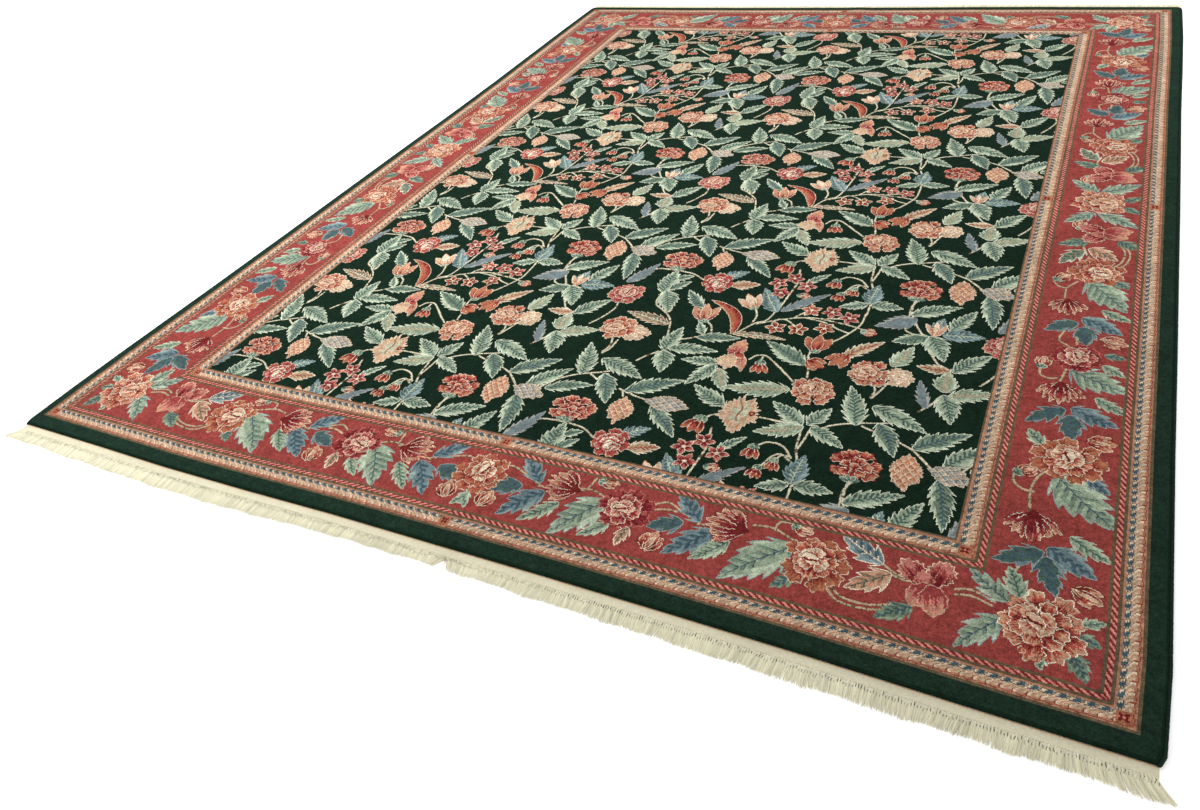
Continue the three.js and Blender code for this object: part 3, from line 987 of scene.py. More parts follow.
# Large roses at the middle of each end and of each side: depth into the pattern, radius, kind
END_ROSE = (180.0, 64.0, "brick")
SIDE_ROSE = (166.0, 68.0, "salmon")


def drift(across, along):
    """How far the weaving has drifted at a place, across and along."""
    height, *columns = np.array(FIELD_DRIFT, float).T
    share = np.clip(across / DRIFT_REACH, -1, 1)
    left, middle, right, along_left, along_right = (np.interp(along, height, column) for column in columns)
    aside = middle + np.where(share < 0, (middle - left) * share, (right - middle) * share)
    return aside, along_left + (along_right - along_left) * (share + 1) / 2


def down(*places):
    """Places read across and down the repeat, turned to measure upwards."""
    return [(across, -below) for across, below in places]


def field_chart():
    """One repeat of the field: stalks first, then leaves, then flowers over them."""
    chart = Chart(REPEAT_WIDTH, REPEAT_LENGTH, "forest", repeats=True)
    for places in FIELD_STALKS:
        stalk(chart, *down(*places))
    for across, below, tip_across, tip_below, width, kind in FIELD_LEAVES:
        foot, tip = down((across, below), (tip_across, tip_below))
        bend = 0.1 if (across + below) % 2 else -0.1
        leaf(chart, foot, tip, FIELD_LEAF_SHARE * width, kind, bend, 1.25)
    plume(chart, *down((384, 274), (276, 134)), 34, -0.2)
    for foot, tip, width, kind, cap in FIELD_TULIPS:
        tulip(chart, *down(foot, tip), width, kind, cap)
    for place, kind in FIELD_STARS:
        star(chart, *down(place)[0], 20 + place[0] * 7 % 60, 28, kind)
    for foot, tip, width in FIELD_BUDS:
        bud(chart, *down(foot, tip), width, cap=True)
    for foot, tip in FIELD_BERRIES:
        berry(chart, *down(foot, tip))
    iris(chart, *down((420, 366))[0], -75, 0.95)
    for foot, tip, width, tones in FIELD_CONES:
        cone_bloom(chart, *down(foot, tip), width, tones)
    for place, radius, kind, turn in FIELD_ROSES:
        rose(chart, *down(place)[0], FIELD_ROSE_SHARE * radius, kind, turn)
    for place in ((116, 674), (796, 674)):
        carnation(chart, *down(place)[0], 56)
    poppy(chart, *down((506, 576))[0], 0, 56)
    return chart


def border_chart():
    """A quarter of the border, from the corner at its origin to the middle of a side and of an end."""
    chart = Chart(PATTERN_WIDTH / 2, PATTERN_LENGTH / 2, "red")
    for places in BORDER_STALKS:
        stalk(chart, *places, width=6.4, tones=("light tan", "olive"))
    for from_side, from_end, tip_side, tip_end, width, kind in BORDER_LEAVES:
        bend = 0.1 if (from_side + from_end) % 4 else -0.1
        lobe = 2.0 if width > 50 else 1.5
        breadth = BORDER_LEAF_SHARE * width
        leaf(chart, (from_side, from_end), (tip_side, tip_end), breadth, kind, bend, lobe)
    for foot, tip, width, cap in BORDER_BUDS:
        bud(chart, foot, tip, width, cap)
    for foot, tip in BORDER_LILIES:
        lily(chart, foot, tip)
    for place, radius, kind, turn in BORDER_ROSES:
        rose(chart, *place, radius, kind, turn)
    orchid(chart, 352, 190, 90)
    orchid(chart, 148, 1584, 0)
    return chart


def guard(chart, from_side, from_end, plan, reaches):
    """One guard: plain stripes, a twisted rope, a wavy line, a band of leaning leaves and square grounds."""
    depth = np.minimum(from_side, from_end)
    along = np.where(from_side < from_end, np.abs(plan[1]), np.abs(plan[0]))
    paint = chart.paint
    low = 0
    for upto, yarn in reaches["stripes"]:
        paint((depth >= low) & (depth < upto), yarn)
        low = upto

    rope_low, rope_high = reaches["rope"]
    rope = (depth >= rope_low) & (depth < rope_high)
    twist = (along / ROPE_PITCH + 0.9 * (depth - rope_low) / (rope_high - rope_low)) % 1
    paint(rope & (twist < 0.44), "rope pink")
    paint(rope & (twist > 0.44) & (twist < 0.54), "coral")

    wave = reaches["wave"] + 1.6 * np.sin(along * math.tau / LEAF_PITCH)
    paint(np.abs(depth - wave) < 1.1, "rust")

    low, high = reaches["leaves"]
    band = (depth >= low) & (depth < high)
    share = (depth - low) / (high - low)
    part = (along / LEAF_PITCH - 1.0 * share + 0.2 * np.sin(share * math.tau)) % 1
    bite = 0.16 * (np.floor(share * 12) % 2)
    paint(band, "beige")
    paint(band & (part > 0.12) & (part < 0.32), "pale peach")
    paint(band & (part > 0.44) & (part < 0.60), "salmon")
    paint(band & (part > 0.60) & (part < 0.74), "light tan")
    paint(band & (part < 0.12), "tan")
    paint(band & (part < 0.12) & (share < 0.3), "rust")
    paint(band & (share > 0.56) & (part > 0.42 - bite) & (part < 1.0 - bite), "navy")
    paint(band & (share > 0.92) & (part < 0.4), "tan")
    paint(band & (share < 0.08) & (part > 0.4), "clay")
    paint(band & (along < STAR_SQUARE), "orange")
    paint((from_side >= low) & (from_end >= low) & (from_side < high) & (from_end < high), "orange")


def guard_stars(chart, half_width, half_length):
    """Small stars at the guard's corners and at the middle of each of its sides."""
    middle_x, middle_y = chart.middle()
    for across in (-1, 0, 1):
        for along in (-1, 0, 1):
            if across or along:
                place = (middle_x + across * half_width, middle_y + along * half_length)
                m = Motif(chart, *place, 45, 1, 14)
                for quarter in range(4):
                    m.petal((0, 0), 90 * quarter, 10.5, 6.5, ("deep red",) * 4, fullness=0.8, rim=0)
                m.fill(np.hypot(m.u, m.v) < 2.2, "rope pink")


def rug_chart():
    """The whole carpet: border and field laid out round the middle, then the guards and middle roses."""
    block = KNOT * BLOCK
    rug = Chart(BLOCKS_ACROSS * block, BLOCKS_ALONG * block, "margin")
    middle_x, middle_y = rug.middle()
    _, _, across, along = rug.knots_near(middle_x, middle_y, max(middle_x, middle_y) + block)
    from_side = PATTERN_WIDTH / 2 - np.abs(across)
    from_end = PATTERN_LENGTH / 2 - np.abs(along)
    rug.copy(border_chart(), from_side, from_end, np.minimum(from_side, from_end) >= 0)

    side_depth = 2 * GUARD + SIDE_GROUND
    end_depth = 2 * GUARD + END_GROUND
    aside, ahead = drift(across, along)
    repeat_x = across - aside + PATTERN_WIDTH / 2 - REPEAT_LEFT
    repeat_y = along - ahead + PATTERN_LENGTH / 2 - REPEAT_TOP
    rug.copy(field_chart(), repeat_x, repeat_y, (from_side >= side_depth) & (from_end >= end_depth))

    guards = ((0.0, 0.0, OUTER_GUARD), (GUARD + SIDE_GROUND, GUARD + END_GROUND, INNER_GUARD))
    for inset_side, inset_end, reaches in guards:
        guard(rug, from_side - inset_side, from_end - inset_end, (across, along), reaches)
        centre = sum(reaches["leaves"]) / 2
        guard_stars(rug, PATTERN_WIDTH / 2 - inset_side - centre, PATTERN_LENGTH / 2 - inset_end - centre)

    for way in (-1, 1):
        depth, radius, kind = END_ROSE
        rose(rug, middle_x, middle_y + way * (PATTERN_LENGTH / 2 - depth), radius, kind, -90 * way)
        depth, radius, kind = SIDE_ROSE
        rose(rug, middle_x + way * (PATTERN_WIDTH / 2 - depth), middle_y, radius, kind, 90 - 90 * way)
    return rug


# Outline of the carpet, shared by every piece

def table(rows, column, at):
    """Straight-line reading of one column of a table whose first column is the place."""
    return np.interp(at, [row[0] for row in rows], [row[column] for row in rows])


def side_edge(side, along):
    """Outer edge of the rug on one side, -1 for left and 1 for right, in millimetres."""
    distance = np.minimum(along, 1 - along) * PILE_LENGTH
    pull = CORNER_PULL * np.clip(1 - distance / CORNER_REACH, 0, 1) ** 2
    return side * (RUG_WIDTH / 2 - table(SIDE_ROWS, 1 if side < 0 else 2, along) - pull)


def end_row(column, across, end):
    """The far end repeats the near end turned round, so its rows run the other way."""
    return table(END_ROWS, column, 1 - across if end > 0 else across)


def end_edge(across, end):
    """Line of the pile's foot at one end, -1 for near and 1 for far."""
    return end * (PILE_LENGTH / 2 - end_row(1, across, end))


def plan_point(across, along, inset):
    """A point of the carpet from its fractions across and along, inset from the rug's outer edge."""
    left = side_edge(-1, along) + inset
    right = side_edge(1, along) - inset
    near = end_edge(across, -1)
    far = end_edge(across, 1)
    return left + (right - left) * across, near + (far - near) * along


def end_point(across, end, offset):
    """A point of an end strip, at an offset out from the pile's foot."""
    along = 0.0 if end < 0 else 1.0
    left = side_edge(-1, along) + KILIM_SIDE_INSET
    right = side_edge(1, along) - KILIM_SIDE_INSET
    return left + (right - left) * across, end_edge(across, end) + end * offset


def centring():
    """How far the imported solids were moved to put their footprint's middle on the origin."""
    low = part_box("pile")[0] / MM
    samples = np.linspace(0, 1, 401)
    left = np.min(side_edge(-1, samples)) + CORD_WIDTH + GAP
    near = np.min(end_edge(samples, -1))
    return np.array([low.x - left, low.y - near, 0.0])


SHIFT = centring()


def pile_top(x, height):
    """Height of the pile's face, with the crease as a soft ridge."""
    share = np.clip(np.abs(x - CREASE_X) / CREASE_HALF_WIDTH, 0, 1)
    return height + CREASE_HEIGHT * (1 + np.cos(np.pi * share)) / 2


# Meshes, node trees and finishes

def scene_object(data, place=(0.0, 0.0, 0.0), angles=(0.0, 0.0, 0.0)):
    """An object in the scene with its data's name, at a place in metres and turned by degrees."""
    made = bpy.data.objects.new(data.name, data)
    made.location = place
    made.rotation_euler = Euler([math.radians(angle) for angle in angles])
    bpy.context.scene.collection.objects.link(made)
    return made


def mesh_object(name, points, faces=(), edges=()):
    """A mesh object at the origin from millimetre points, with smooth faces or a line of edges."""
    mesh = bpy.data.meshes.new(name)
    places = (np.asarray(points, float) + SHIFT) * MM
    mesh.from_pydata(places.tolist(), edges, [list(map(int, face)) for face in faces])
    mesh.polygons.foreach_set("use_smooth", [True] * len(mesh.polygons))
    mesh.update()
    return scene_object(mesh)


def linear(colour):
    """Scene-linear colour from sRGB values of 0 to 255."""
    share = np.asarray(colour, float) / 255
    value = np.where(share <= 0.04045, share / 12.92, ((share + 0.055) / 1.055) ** 2.4)
    return (*value.tolist(), 1.0)


class Value:
    """A node socket whose arithmetic adds Math nodes to its tree."""

    def __init__(self, graph, socket):
        self.graph = graph
        self.socket = socket

    def __add__(self, other):
        return self.graph.math("ADD", self, other)

    def __sub__(self, other):
        return self.graph.math("SUBTRACT", self, other)

    def __mul__(self, other):
        return self.graph.math("MULTIPLY", self, other)

    def __truediv__(self, other):
        return self.graph.math("DIVIDE", self, other)

    def __mod__(self, other):
        return self.graph.math("MODULO", self, other)

    def __pow__(self, other):
        return self.graph.math("POWER", self, other)

    def __rsub__(self, other):
        return self.graph.math("SUBTRACT", other, self)

    def __rtruediv__(self, other):
        return self.graph.math("DIVIDE", other, self)

    __radd__ = __add__
    __rmul__ = __mul__


class Graph:
    """Adds nodes to a shader or geometry tree."""

    def __init__(self, tree):
        self.tree = tree

    def node(self, kind, settings=None, inputs=None, output=0):
        """One node: its settings first, then the values or links of its sockets."""
        made = self.tree.nodes.new(kind)
        for name, value in (settings or {}).items():
            if name == "stops":
                self.set_stops(made.color_ramp, value)
            else:
                setattr(made, name, value)
        for key, value in (inputs or {}).items():
            if isinstance(value, Value):
                self.tree.links.new(value.socket, made.inputs[key])
            else:
                made.inputs[key].default_value = value
        return Value(self, made.outputs[output])

    @staticmethod
    def set_stops(ramp, stops):
        """Colour stops of a ramp: how it blends, then each place and colour."""
        blend, *rows = stops
        ramp.interpolation = blend
        while len(ramp.elements) < len(rows):
            ramp.elements.new(1.0)
        for element, (place, colour) in zip(ramp.elements, rows):
            element.position = place
            element.color = colour

    def math(self, operation, first, second=0.0):
        return self.node("ShaderNodeMath", {"operation": operation}, {0: first, 1: second})

    def floor(self, value):
        return self.math("FLOOR", value)

    def equals(self, value, number):
        """1 where a value is nearest to a whole number, and 0 elsewhere."""
        inputs = {0: value, 1: float(number), 2: 0.5}
        return self.node("ShaderNodeMath", {"operation": "COMPARE"}, inputs)

    def vector(self, x, y, z):
        return self.node("ShaderNodeCombineXYZ", None, {"X": x, "Y": y, "Z": z})

    def noise(self, vector, scale, detail=2.0, roughness=0.5):
        inputs = {"Vector": vector, "Scale": scale, "Detail": detail, "Roughness": roughness}
        return self.node("ShaderNodeTexNoise", None, inputs)

    def spread(self, value, reach, middle=1.0):
        """A value from 0 to 1 spread out as far as a reach below and above the middle."""
        return value * (2 * reach) + (middle - reach)


class Finish(Graph):
    """A Principled material that is put together from values."""

    def __init__(self, name, **uniform):
        self.material = bpy.data.materials.new(name)
        self.material.use_nodes = True
        super().__init__(self.material.node_tree)
        self.shader = self.tree.nodes["Principled BSDF"]
        for socket, value in uniform.items():
            self.shader.inputs[socket.replace("_", " ")].default_value = value

    def object_place(self):
        return self.node("ShaderNodeTexCoord", None, None, "Object")

    def stretched(self, vector, scale):
        return self.node("ShaderNodeMapping", None, {"Vector": vector, "Scale": scale})

    def attribute(self, name):
        return self.node("ShaderNodeAttribute", {"attribute_name": name}, None, "Fac")

    def parts(self, vector):
        """The X, Y and Z of a vector."""
        first = self.node("ShaderNodeSeparateXYZ", None, {"Vector": vector})
        outputs = first.socket.node.outputs
        return first, Value(self, outputs[1]), Value(self, outputs[2])

    def tint(self, colour, value):
        """A colour made lighter or darker by a value round 1."""
        inputs = {0: 1.0, 6: colour, 7: self.vector(value, value, value)}
        return self.node("ShaderNodeMix", {"data_type": "RGBA", "blend_type": "MULTIPLY"}, inputs, 2)

    def feed(self, **links):
        for socket, value in links.items():
            self.tree.links.new(value.socket, self.shader.inputs[socket.replace("_", " ")])

    def bump(self, height, distance, strength):
        inputs = {"Height": height, "Distance": distance, "Strength": strength}
        self.feed(Normal=self.node("ShaderNodeBump", None, inputs, "Normal"))


class Maker(Graph):
    """A geometry tree with named inputs, put on a guide object and turned into a plain mesh."""

    TYPES = {float: "NodeSocketFloat", int: "NodeSocketInt", bpy.types.Material: "NodeSocketMaterial"}

    def __init__(self, name, sizes):
        tree = bpy.data.node_groups.new(name, "GeometryNodeTree")
        tree.is_modifier = True
        super().__init__(tree)
        self.sizes = sizes
        tree.interface.new_socket(name="Geometry", in_out="INPUT", socket_type="NodeSocketGeometry")
        for title, value in sizes.items():
            kind = next(socket for sort, socket in self.TYPES.items() if isinstance(value, sort))
            tree.interface.new_socket(name=title, in_out="INPUT", socket_type=kind)
        tree.interface.new_socket(name="Geometry", in_out="OUTPUT", socket_type="NodeSocketGeometry")
        self.entry = tree.nodes.new("NodeGroupInput")

    def size(self, title):
        """The value of a named input."""
        return Value(self, self.entry.outputs[title])

    def named(self, name):
        """A named attribute of the guide."""
        return self.node("GeometryNodeInputNamedAttribute", {"data_type": "FLOAT"}, {"Name": name})

    def random(self, low, high, salt):
        """An even spread of values, fixed by the tree's seed."""
        inputs = {2: low, 3: high, "Seed": self.size("Seed") + salt}
        return self.node("FunctionNodeRandomValue", {"data_type": "FLOAT"}, inputs, 1)

    def store(self, geometry, name, value, domain="INSTANCE"):
        inputs = {"Geometry": geometry, "Name": name, "Value": value}
        settings = {"data_type": "FLOAT", "domain": domain}
        return self.node("GeometryNodeStoreNamedAttribute", settings, inputs)

    def ring(self, sides, radius):
        inputs = {"Resolution": sides, "Radius": radius}
        return self.node("GeometryNodeCurvePrimitiveCircle", None, inputs)

    def path(self):
        """The guide's line as a curve."""
        return self.node("GeometryNodeMeshToCurve", None, {"Mesh": self.size("Geometry")})

    def resample(self, curve, count):
        return self.node("GeometryNodeResampleCurve", None, {"Curve": curve, "Count": count})

    def moved(self, geometry, offset):
        return self.node("GeometryNodeSetPosition", None, {"Geometry": geometry, "Offset": offset})

    def tube(self, curve, ring, **more):
        return self.node("GeometryNodeCurveToMesh", None, {"Curve": curve, "Profile Curve": ring, **more})

    def placed(self, points, instance, **more):
        """One instance at each point."""
        inputs = {"Points": points, "Instance": instance, **more}
        return self.node("GeometryNodeInstanceOnPoints", None, inputs)

    def finish(self, *geometries):
        """Ends the tree: everything joined, made real and given its material."""
        joined = self.tree.nodes.new("GeometryNodeJoinGeometry")
        for geometry in geometries:
            self.tree.links.new(geometry.socket, joined.inputs[0])
        inputs = {"Geometry": Value(self, joined.outputs[0])}
        real = self.node("GeometryNodeRealizeInstances", None, inputs)
        inputs = {"Geometry": real, "Material": self.size("Material")}
        dressed = self.node("GeometryNodeSetMaterial", None, inputs)
        leave = self.tree.nodes.new("NodeGroupOutput")
        self.tree.links.new(dressed.socket, leave.inputs[0])

    def build(self, guide):
        """Runs the tree on a guide, and returns the guide's object with the plain mesh in its place."""
        modifier = guide.modifiers.new(self.tree.name, "NODES")
        modifier.node_group = self.tree
        for item in self.tree.interface.items_tree:
            if item.in_out == "INPUT" and item.name in self.sizes:
                modifier[item.identifier] = self.sizes[item.name]
        depsgraph = bpy.context.evaluated_depsgraph_get()
        mesh = bpy.data.meshes.new_from_object(guide.evaluated_get(depsgraph), depsgraph=depsgraph)
        guide.modifiers.remove(modifier)
        mesh.polygons.foreach_set("use_smooth", [True] * len(mesh.polygons))
        mesh.name = guide.name
        guide.data = mesh
        return guide


def settle(piece, node):
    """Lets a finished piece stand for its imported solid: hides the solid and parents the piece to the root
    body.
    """
    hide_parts(node)
    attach(piece, "root")


# Finishes of the wool and the cotton

def pile_finish(colours):
    """Wool knots: the chart's yarns, a different dye take-up in each knot, and soft bands of shade."""
    wool = Finish("Wool pile", Roughness=0.97, Specular_IOR_Level=0.02)
    weave = wool.node("ShaderNodeUVMap", {"uv_map": "weave"})
    across, along, _ = wool.parts(weave)
    column = wool.floor(across)
    row = wool.floor(along)
    in_column = column % BLOCK
    in_row = row % BLOCK
    in_half = in_column % (BLOCK // 2)
    half = wool.floor(in_column / (BLOCK // 2))

    # The number of the knot's half row in its block, then the digit of the knot in that number
    packed = 0.0
    for number in range(BLOCK):
        on_row = wool.equals(in_row, number)
        low = wool.attribute(f"knots_{number}_0")
        high = wool.attribute(f"knots_{number}_1")
        packed = on_row * (low + (high - low) * half) + packed
    step = 1.0
    for number in range(1, BLOCK // 2):
        at_digit = wool.equals(in_half, number)
        step = at_digit * (float(DIGIT) ** number - 1) + step
    yarn = wool.floor(packed / step) % DIGIT

    stops = [(number / DIGIT, linear(colour)) for number, colour in enumerate(YARNS.values())]
    for name, colour in (("forest", colours.field), ("margin", colours.margin), ("red", colours.border)):
        stops[NUMBER[name]] = (NUMBER[name] / DIGIT, (*colour, 1.0))
    dyed = wool.node("ShaderNodeValToRGB", {"stops": ("CONSTANT", *stops)}, {"Fac": (yarn + 0.5) / DIGIT})

    place = wool.object_place()
    knot = wool.node("ShaderNodeTexWhiteNoise", None, {"Vector": wool.vector(column, row, 0.0)})
    tuft = wool.noise(place, 420.0, 3.0, 0.6)
    bands = wool.noise(wool.stretched(place, (0.6, 9.0, 1.0)), 1.0, 4.0)
    worn = wool.noise(place, 3.2, 3.0)
    fleck = wool.noise(place, 110.0, 2.0)
    shade = (wool.spread(knot, 0.28) * wool.spread(tuft, 0.38) * wool.spread(fleck, 0.5)
             * wool.spread(bands, 0.14) * wool.spread(worn, 0.12))
    patch = wool.noise(place, 45.0, 3.0)
    wool.feed(Base_Color=wool.tint(dyed, shade * wool.spread(patch, 0.4)))

    beside = (across - column - 0.5) * (across - column - 0.5)
    before = (along - row - 0.5) * (along - row - 0.5)
    dome = 1.0 - (beside + before) * 1.6
    wool.bump(dome * 0.5 + tuft * 0.8 + knot * 0.25, 0.0009, 0.8)
    return wool.material


def cord_finish(colours):
    """Side cord wool, each turn of the overcast a little lighter or darker."""
    wool = Finish("Overcast cord wool", Roughness=0.92, Specular_IOR_Level=0.1, Sheen_Weight=0.04)
    place = wool.object_place()
    strands = wool.noise(place, 900.0, 2.0)
    slow = wool.noise(place, 6.0, 2.0)
    shade = wool.spread(wool.attribute("turn"), 0.2) * wool.spread(strands, 0.2) * wool.spread(slow, 0.1)
    wool.feed(Base_Color=wool.tint((*colours.cord, 1.0), shade))
    wool.bump(strands, 0.0004, 0.6)
    return wool.material


def strip_finish(colours):
    """Cotton strip: a soft orange weft line by the pile, darker at the pile's foot as painted shade, then
    cream, all in plain weave.
    """
    cotton = Finish("Cotton strip", Roughness=0.9, Specular_IOR_Level=0.1, Sheen_Weight=0.04)
    place = cotton.object_place()
    wander = cotton.noise(place, 35.0, 2.0)
    depth = cotton.attribute("from_pile") + (wander - 0.5) * 0.09
    cream = (*colours.cotton, 1.0)
    # The first stops darken towards the pile's foot: painted shade under the pile's edge
    weft = [(place_out, linear(colour)) for place_out, colour in SHADED_WEFT_LINE]
    stops = ("LINEAR", *weft, (SHADED_WEFT_LINE_END, cream), (1.0, cream))
    weft_and_shade = cotton.node("ShaderNodeValToRGB", {"stops": stops}, {"Fac": depth})
    threads = cotton.noise(cotton.stretched(place, (300.0, 1400.0, 300.0)), 1.0)
    soil = cotton.noise(place, 9.0, 3.0)
    slubs = cotton.noise(place, 160.0, 3.0)
    shade = cotton.spread(threads, 0.14) * cotton.spread(soil, 0.1) * cotton.spread(slubs, 0.18)
    cotton.feed(Base_Color=cotton.tint(weft_and_shade, shade))
    cotton.bump(threads, 0.0003, 0.7)
    return cotton.material


def fringe_finish(colours):
    """Cotton warp: ivory strands of slightly different tones, and near-black solids between the knots whose
    tone is painted shadow.
    """
    cotton = Finish("Warp cotton", Roughness=0.88, Specular_IOR_Level=0.12, Sheen_Weight=0.04)
    place = cotton.object_place()
    fibres = cotton.noise(place, 1200.0, 2.0)
    soil = cotton.noise(place, 14.0, 3.0)
    tone = cotton.spread(cotton.attribute("tone"), 0.09, 0.99)
    shade = tone * cotton.spread(fibres, 0.12) * cotton.spread(soil, 0.08)
    cotton.feed(Base_Color=cotton.tint((*colours.fringe, 1.0), shade))
    cotton.bump(fibres, 0.0002, 0.6)
    return cotton.material


# Pieces

def grid_faces(cell):
    """Four-sided faces between the rows and columns of a grid of points."""
    return np.stack([cell[:-1, :-1], cell[:-1, 1:], cell[1:, 1:], cell[1:, :-1]], -1).reshape(-1, 4)


def pile_mesh(height):
    """Points and faces of the pile, its face's faces by themselves, and the lengths of its rim and rows."""
    columns = BLOCKS_ACROSS + 1
    rows = BLOCKS_ALONG + 1
    i, j = np.meshgrid(np.arange(columns), np.arange(rows))
    across = i / BLOCKS_ACROSS
    along = j / BLOCKS_ALONG
    x, y = plan_point(across, along, CORD_WIDTH - CORD_TUCK)
    to_right = (i == 0).astype(int) - (i == BLOCKS_ACROSS)
    to_far = (j == 0).astype(int) - (j == BLOCKS_ALONG)

    def level(inset, z):
        return np.stack([x + to_right * inset, y + to_far * inset, np.broadcast_to(z, x.shape)], -1)

    face_x = x + (1 - 2 * across) * SHOULDER_INSET
    face_y = y + (1 - 2 * along) * SHOULDER_INSET
    bent_x = face_x / 61 + 2 * np.sin(face_y / 143)
    bent_y = face_y / 83 + np.sin(face_x / 117)
    uneven = FACE_UNEVEN * np.sin(bent_x) * np.sin(bent_y)
    rim_drop = np.where((to_right != 0) | (to_far != 0), FACE_DROP, 0.0)
    face = np.stack([face_x, face_y, pile_top(face_x, height) + uneven - rim_drop], -1)
    back = level(RIM_ROWS[-1][0], 0.0)

    cell = np.arange(columns * rows).reshape(rows, columns)
    rim = np.concatenate([cell[0, :-1], cell[:-1, -1], cell[-1, :0:-1], cell[:0:-1, 0]])
    top_faces = grid_faces(cell)
    back_first = columns * rows
    points = [face.reshape(-1, 3), back.reshape(-1, 3)]
    loops = [rim]
    first = 2 * columns * rows
    for inset, z in RIM_ROWS[:-1]:
        points.append(level(inset, z * height / RIM_TOP).reshape(-1, 3)[rim])
        loops.append(first + np.arange(len(rim)))
        first += len(rim)
    loops.append(back_first + rim)
    rim_faces = [np.stack([low, np.roll(low, -1), np.roll(high, -1), high], -1)
                 for high, low in zip(loops, loops[1:])]
    faces = np.concatenate([top_faces, back_first + top_faces[:, ::-1], *rim_faces])
    return np.concatenate(points), faces, top_faces, len(rim), columns


def pile_maps(mesh, top_faces, rim_count, columns):
    """The weave map, which counts knots, and the map that a bake uses: face, back and rim apart."""
    knot = np.stack([top_faces % columns, top_faces // columns], -1).reshape(-1, 2) * float(BLOCK)
    back = knot.reshape(-1, 4, 2)[:, ::-1].reshape(-1, 2)
    rim_loops = 4 * rim_count * len(RIM_ROWS)
    weave = mesh.uv_layers.new(name="weave")
    weave.data.foreach_set("uv", np.concatenate([knot, back, np.zeros((rim_loops, 2))]).ravel())

    whole = np.array([BLOCKS_ACROSS, BLOCKS_ALONG]) * float(BLOCK)
    step = np.arange(rim_count) / rim_count
    strips = []
    for ring in range(len(RIM_ROWS)):
        low = 1 - BACK_SHARE + BACK_SHARE * (ring + 0.1) / len(RIM_ROWS)
        high = low + 0.8 * BACK_SHARE / len(RIM_ROWS)
        start = RIM_FOOT + RIM_SPAN * step
        after = start + RIM_SPAN / rim_count
        square = [(low, start), (low, after), (high, after), (high, start)]
        strips.append(np.stack([np.stack([np.broadcast_to(u, step.shape), v], -1) for u, v in square], 1))
    face_map = knot / whole * (FACE_SHARE, 1.0)
    back_map = back / whole * (BACK_SHARE, BACK_TOP) + (1 - BACK_SHARE, 0.0)
    rim_map = np.concatenate(strips).reshape(-1, 2)
    baked = mesh.uv_layers.new(name="OFBake")
    baked.data.foreach_set("uv", np.concatenate([face_map, back_map, rim_map]).ravel())


def pile_knots(mesh, yarns):
    """Stores the chart in the faces: four knots to a number, two numbers to a row of a block."""
    blocks = yarns.reshape(BLOCKS_ALONG, BLOCK, BLOCKS_ACROSS, BLOCK).astype(float)
    weights = float(DIGIT) ** np.arange(BLOCK // 2)
    for row in range(BLOCK):
        for half in range(2):
            knots = blocks[:, row, :, half * BLOCK // 2:(half + 1) * BLOCK // 2]
            packed = (knots * weights).sum(-1).ravel()
            rim = np.zeros(len(mesh.polygons) - 2 * len(packed))
            set_layer(mesh, f"knots_{row}_{half}", np.concatenate([packed, packed, rim]), "FACE")


def strip_piece(name, end, material, columns):
    """A flat-woven strip: weft ribs over the warps, a rounded outer edge and a flat back."""
    rows = STRIP_ROWS
    across, share = np.meshgrid(np.linspace(0, 1, columns + 1), np.linspace(0, 1, rows + 1))
    offset = STRIP_START + (KILIM_WIDTH - STRIP_START) * share
    x, y = end_point(across, end, offset)
    i, j = np.meshgrid(np.arange(columns + 1), np.arange(rows + 1))
    over = np.where((i + j) % 2 == 0, WEFT_RISE, -WEFT_RISE)
    warp = WARP_RISE * np.cos(i * np.pi / 2)
    edge = 1 - np.abs(2 * share - 1) ** 8 * np.where(share < 0.5, PILE_EDGE_DROP, FRINGE_EDGE_DROP)
    z = (KILIM_THICKNESS - WEAVE_RISE) * edge + over + warp
    y = y + end * EDGE_WAVER * np.sin(x / 190) * share
    top = np.stack([x, y, z], -1).reshape(-1, 3)
    edges = (0, rows)
    low = np.stack([x[edges, :], y[edges, :], np.zeros((2, columns + 1))], -1).reshape(-1, 3)
    cell = np.arange((rows + 1) * (columns + 1)).reshape(rows + 1, columns + 1)
    first = cell.size + np.arange(columns + 1)
    second = first + columns + 1
    faces = grid_faces(cell).tolist()
    faces += np.stack([second[:-1], second[1:], first[1:], first[:-1]], -1).tolist()
    faces += np.stack([first[:-1], first[1:], cell[0, 1:], cell[0, :-1]], -1).tolist()
    faces += np.stack([cell[-1, :-1], cell[-1, 1:], second[1:], second[:-1]], -1).tolist()
    faces.append([first[0], *cell[:, 0], second[0]])
    faces.append([second[-1], *cell[::-1, -1], first[-1]])
    if end < 0:
        faces = [face[::-1] for face in faces]
    strip = mesh_object(name, np.concatenate([top, low]), faces)
    foot = np.zeros(columns + 1)
    set_layer(strip.data, "from_pile", np.concatenate([share.ravel(), foot, foot + 1]))
    strip.data.materials.append(material)
    return strip


def set_layer(mesh, title, values, domain="POINT"):
    """A named number for each point or face of a mesh."""
    mesh.attributes.new(title, "FLOAT", domain).data.foreach_set("value", np.asarray(values, np.float32))


def guide(name, places, **layers):
    """An open line of edges through millimetre places, with a value at each point in every layer."""
    made = mesh_object(name, places, edges=[(number, number + 1) for number in range(len(places) - 1)])
    for title, values in layers.items():
        set_layer(made.data, title, values)
    return made


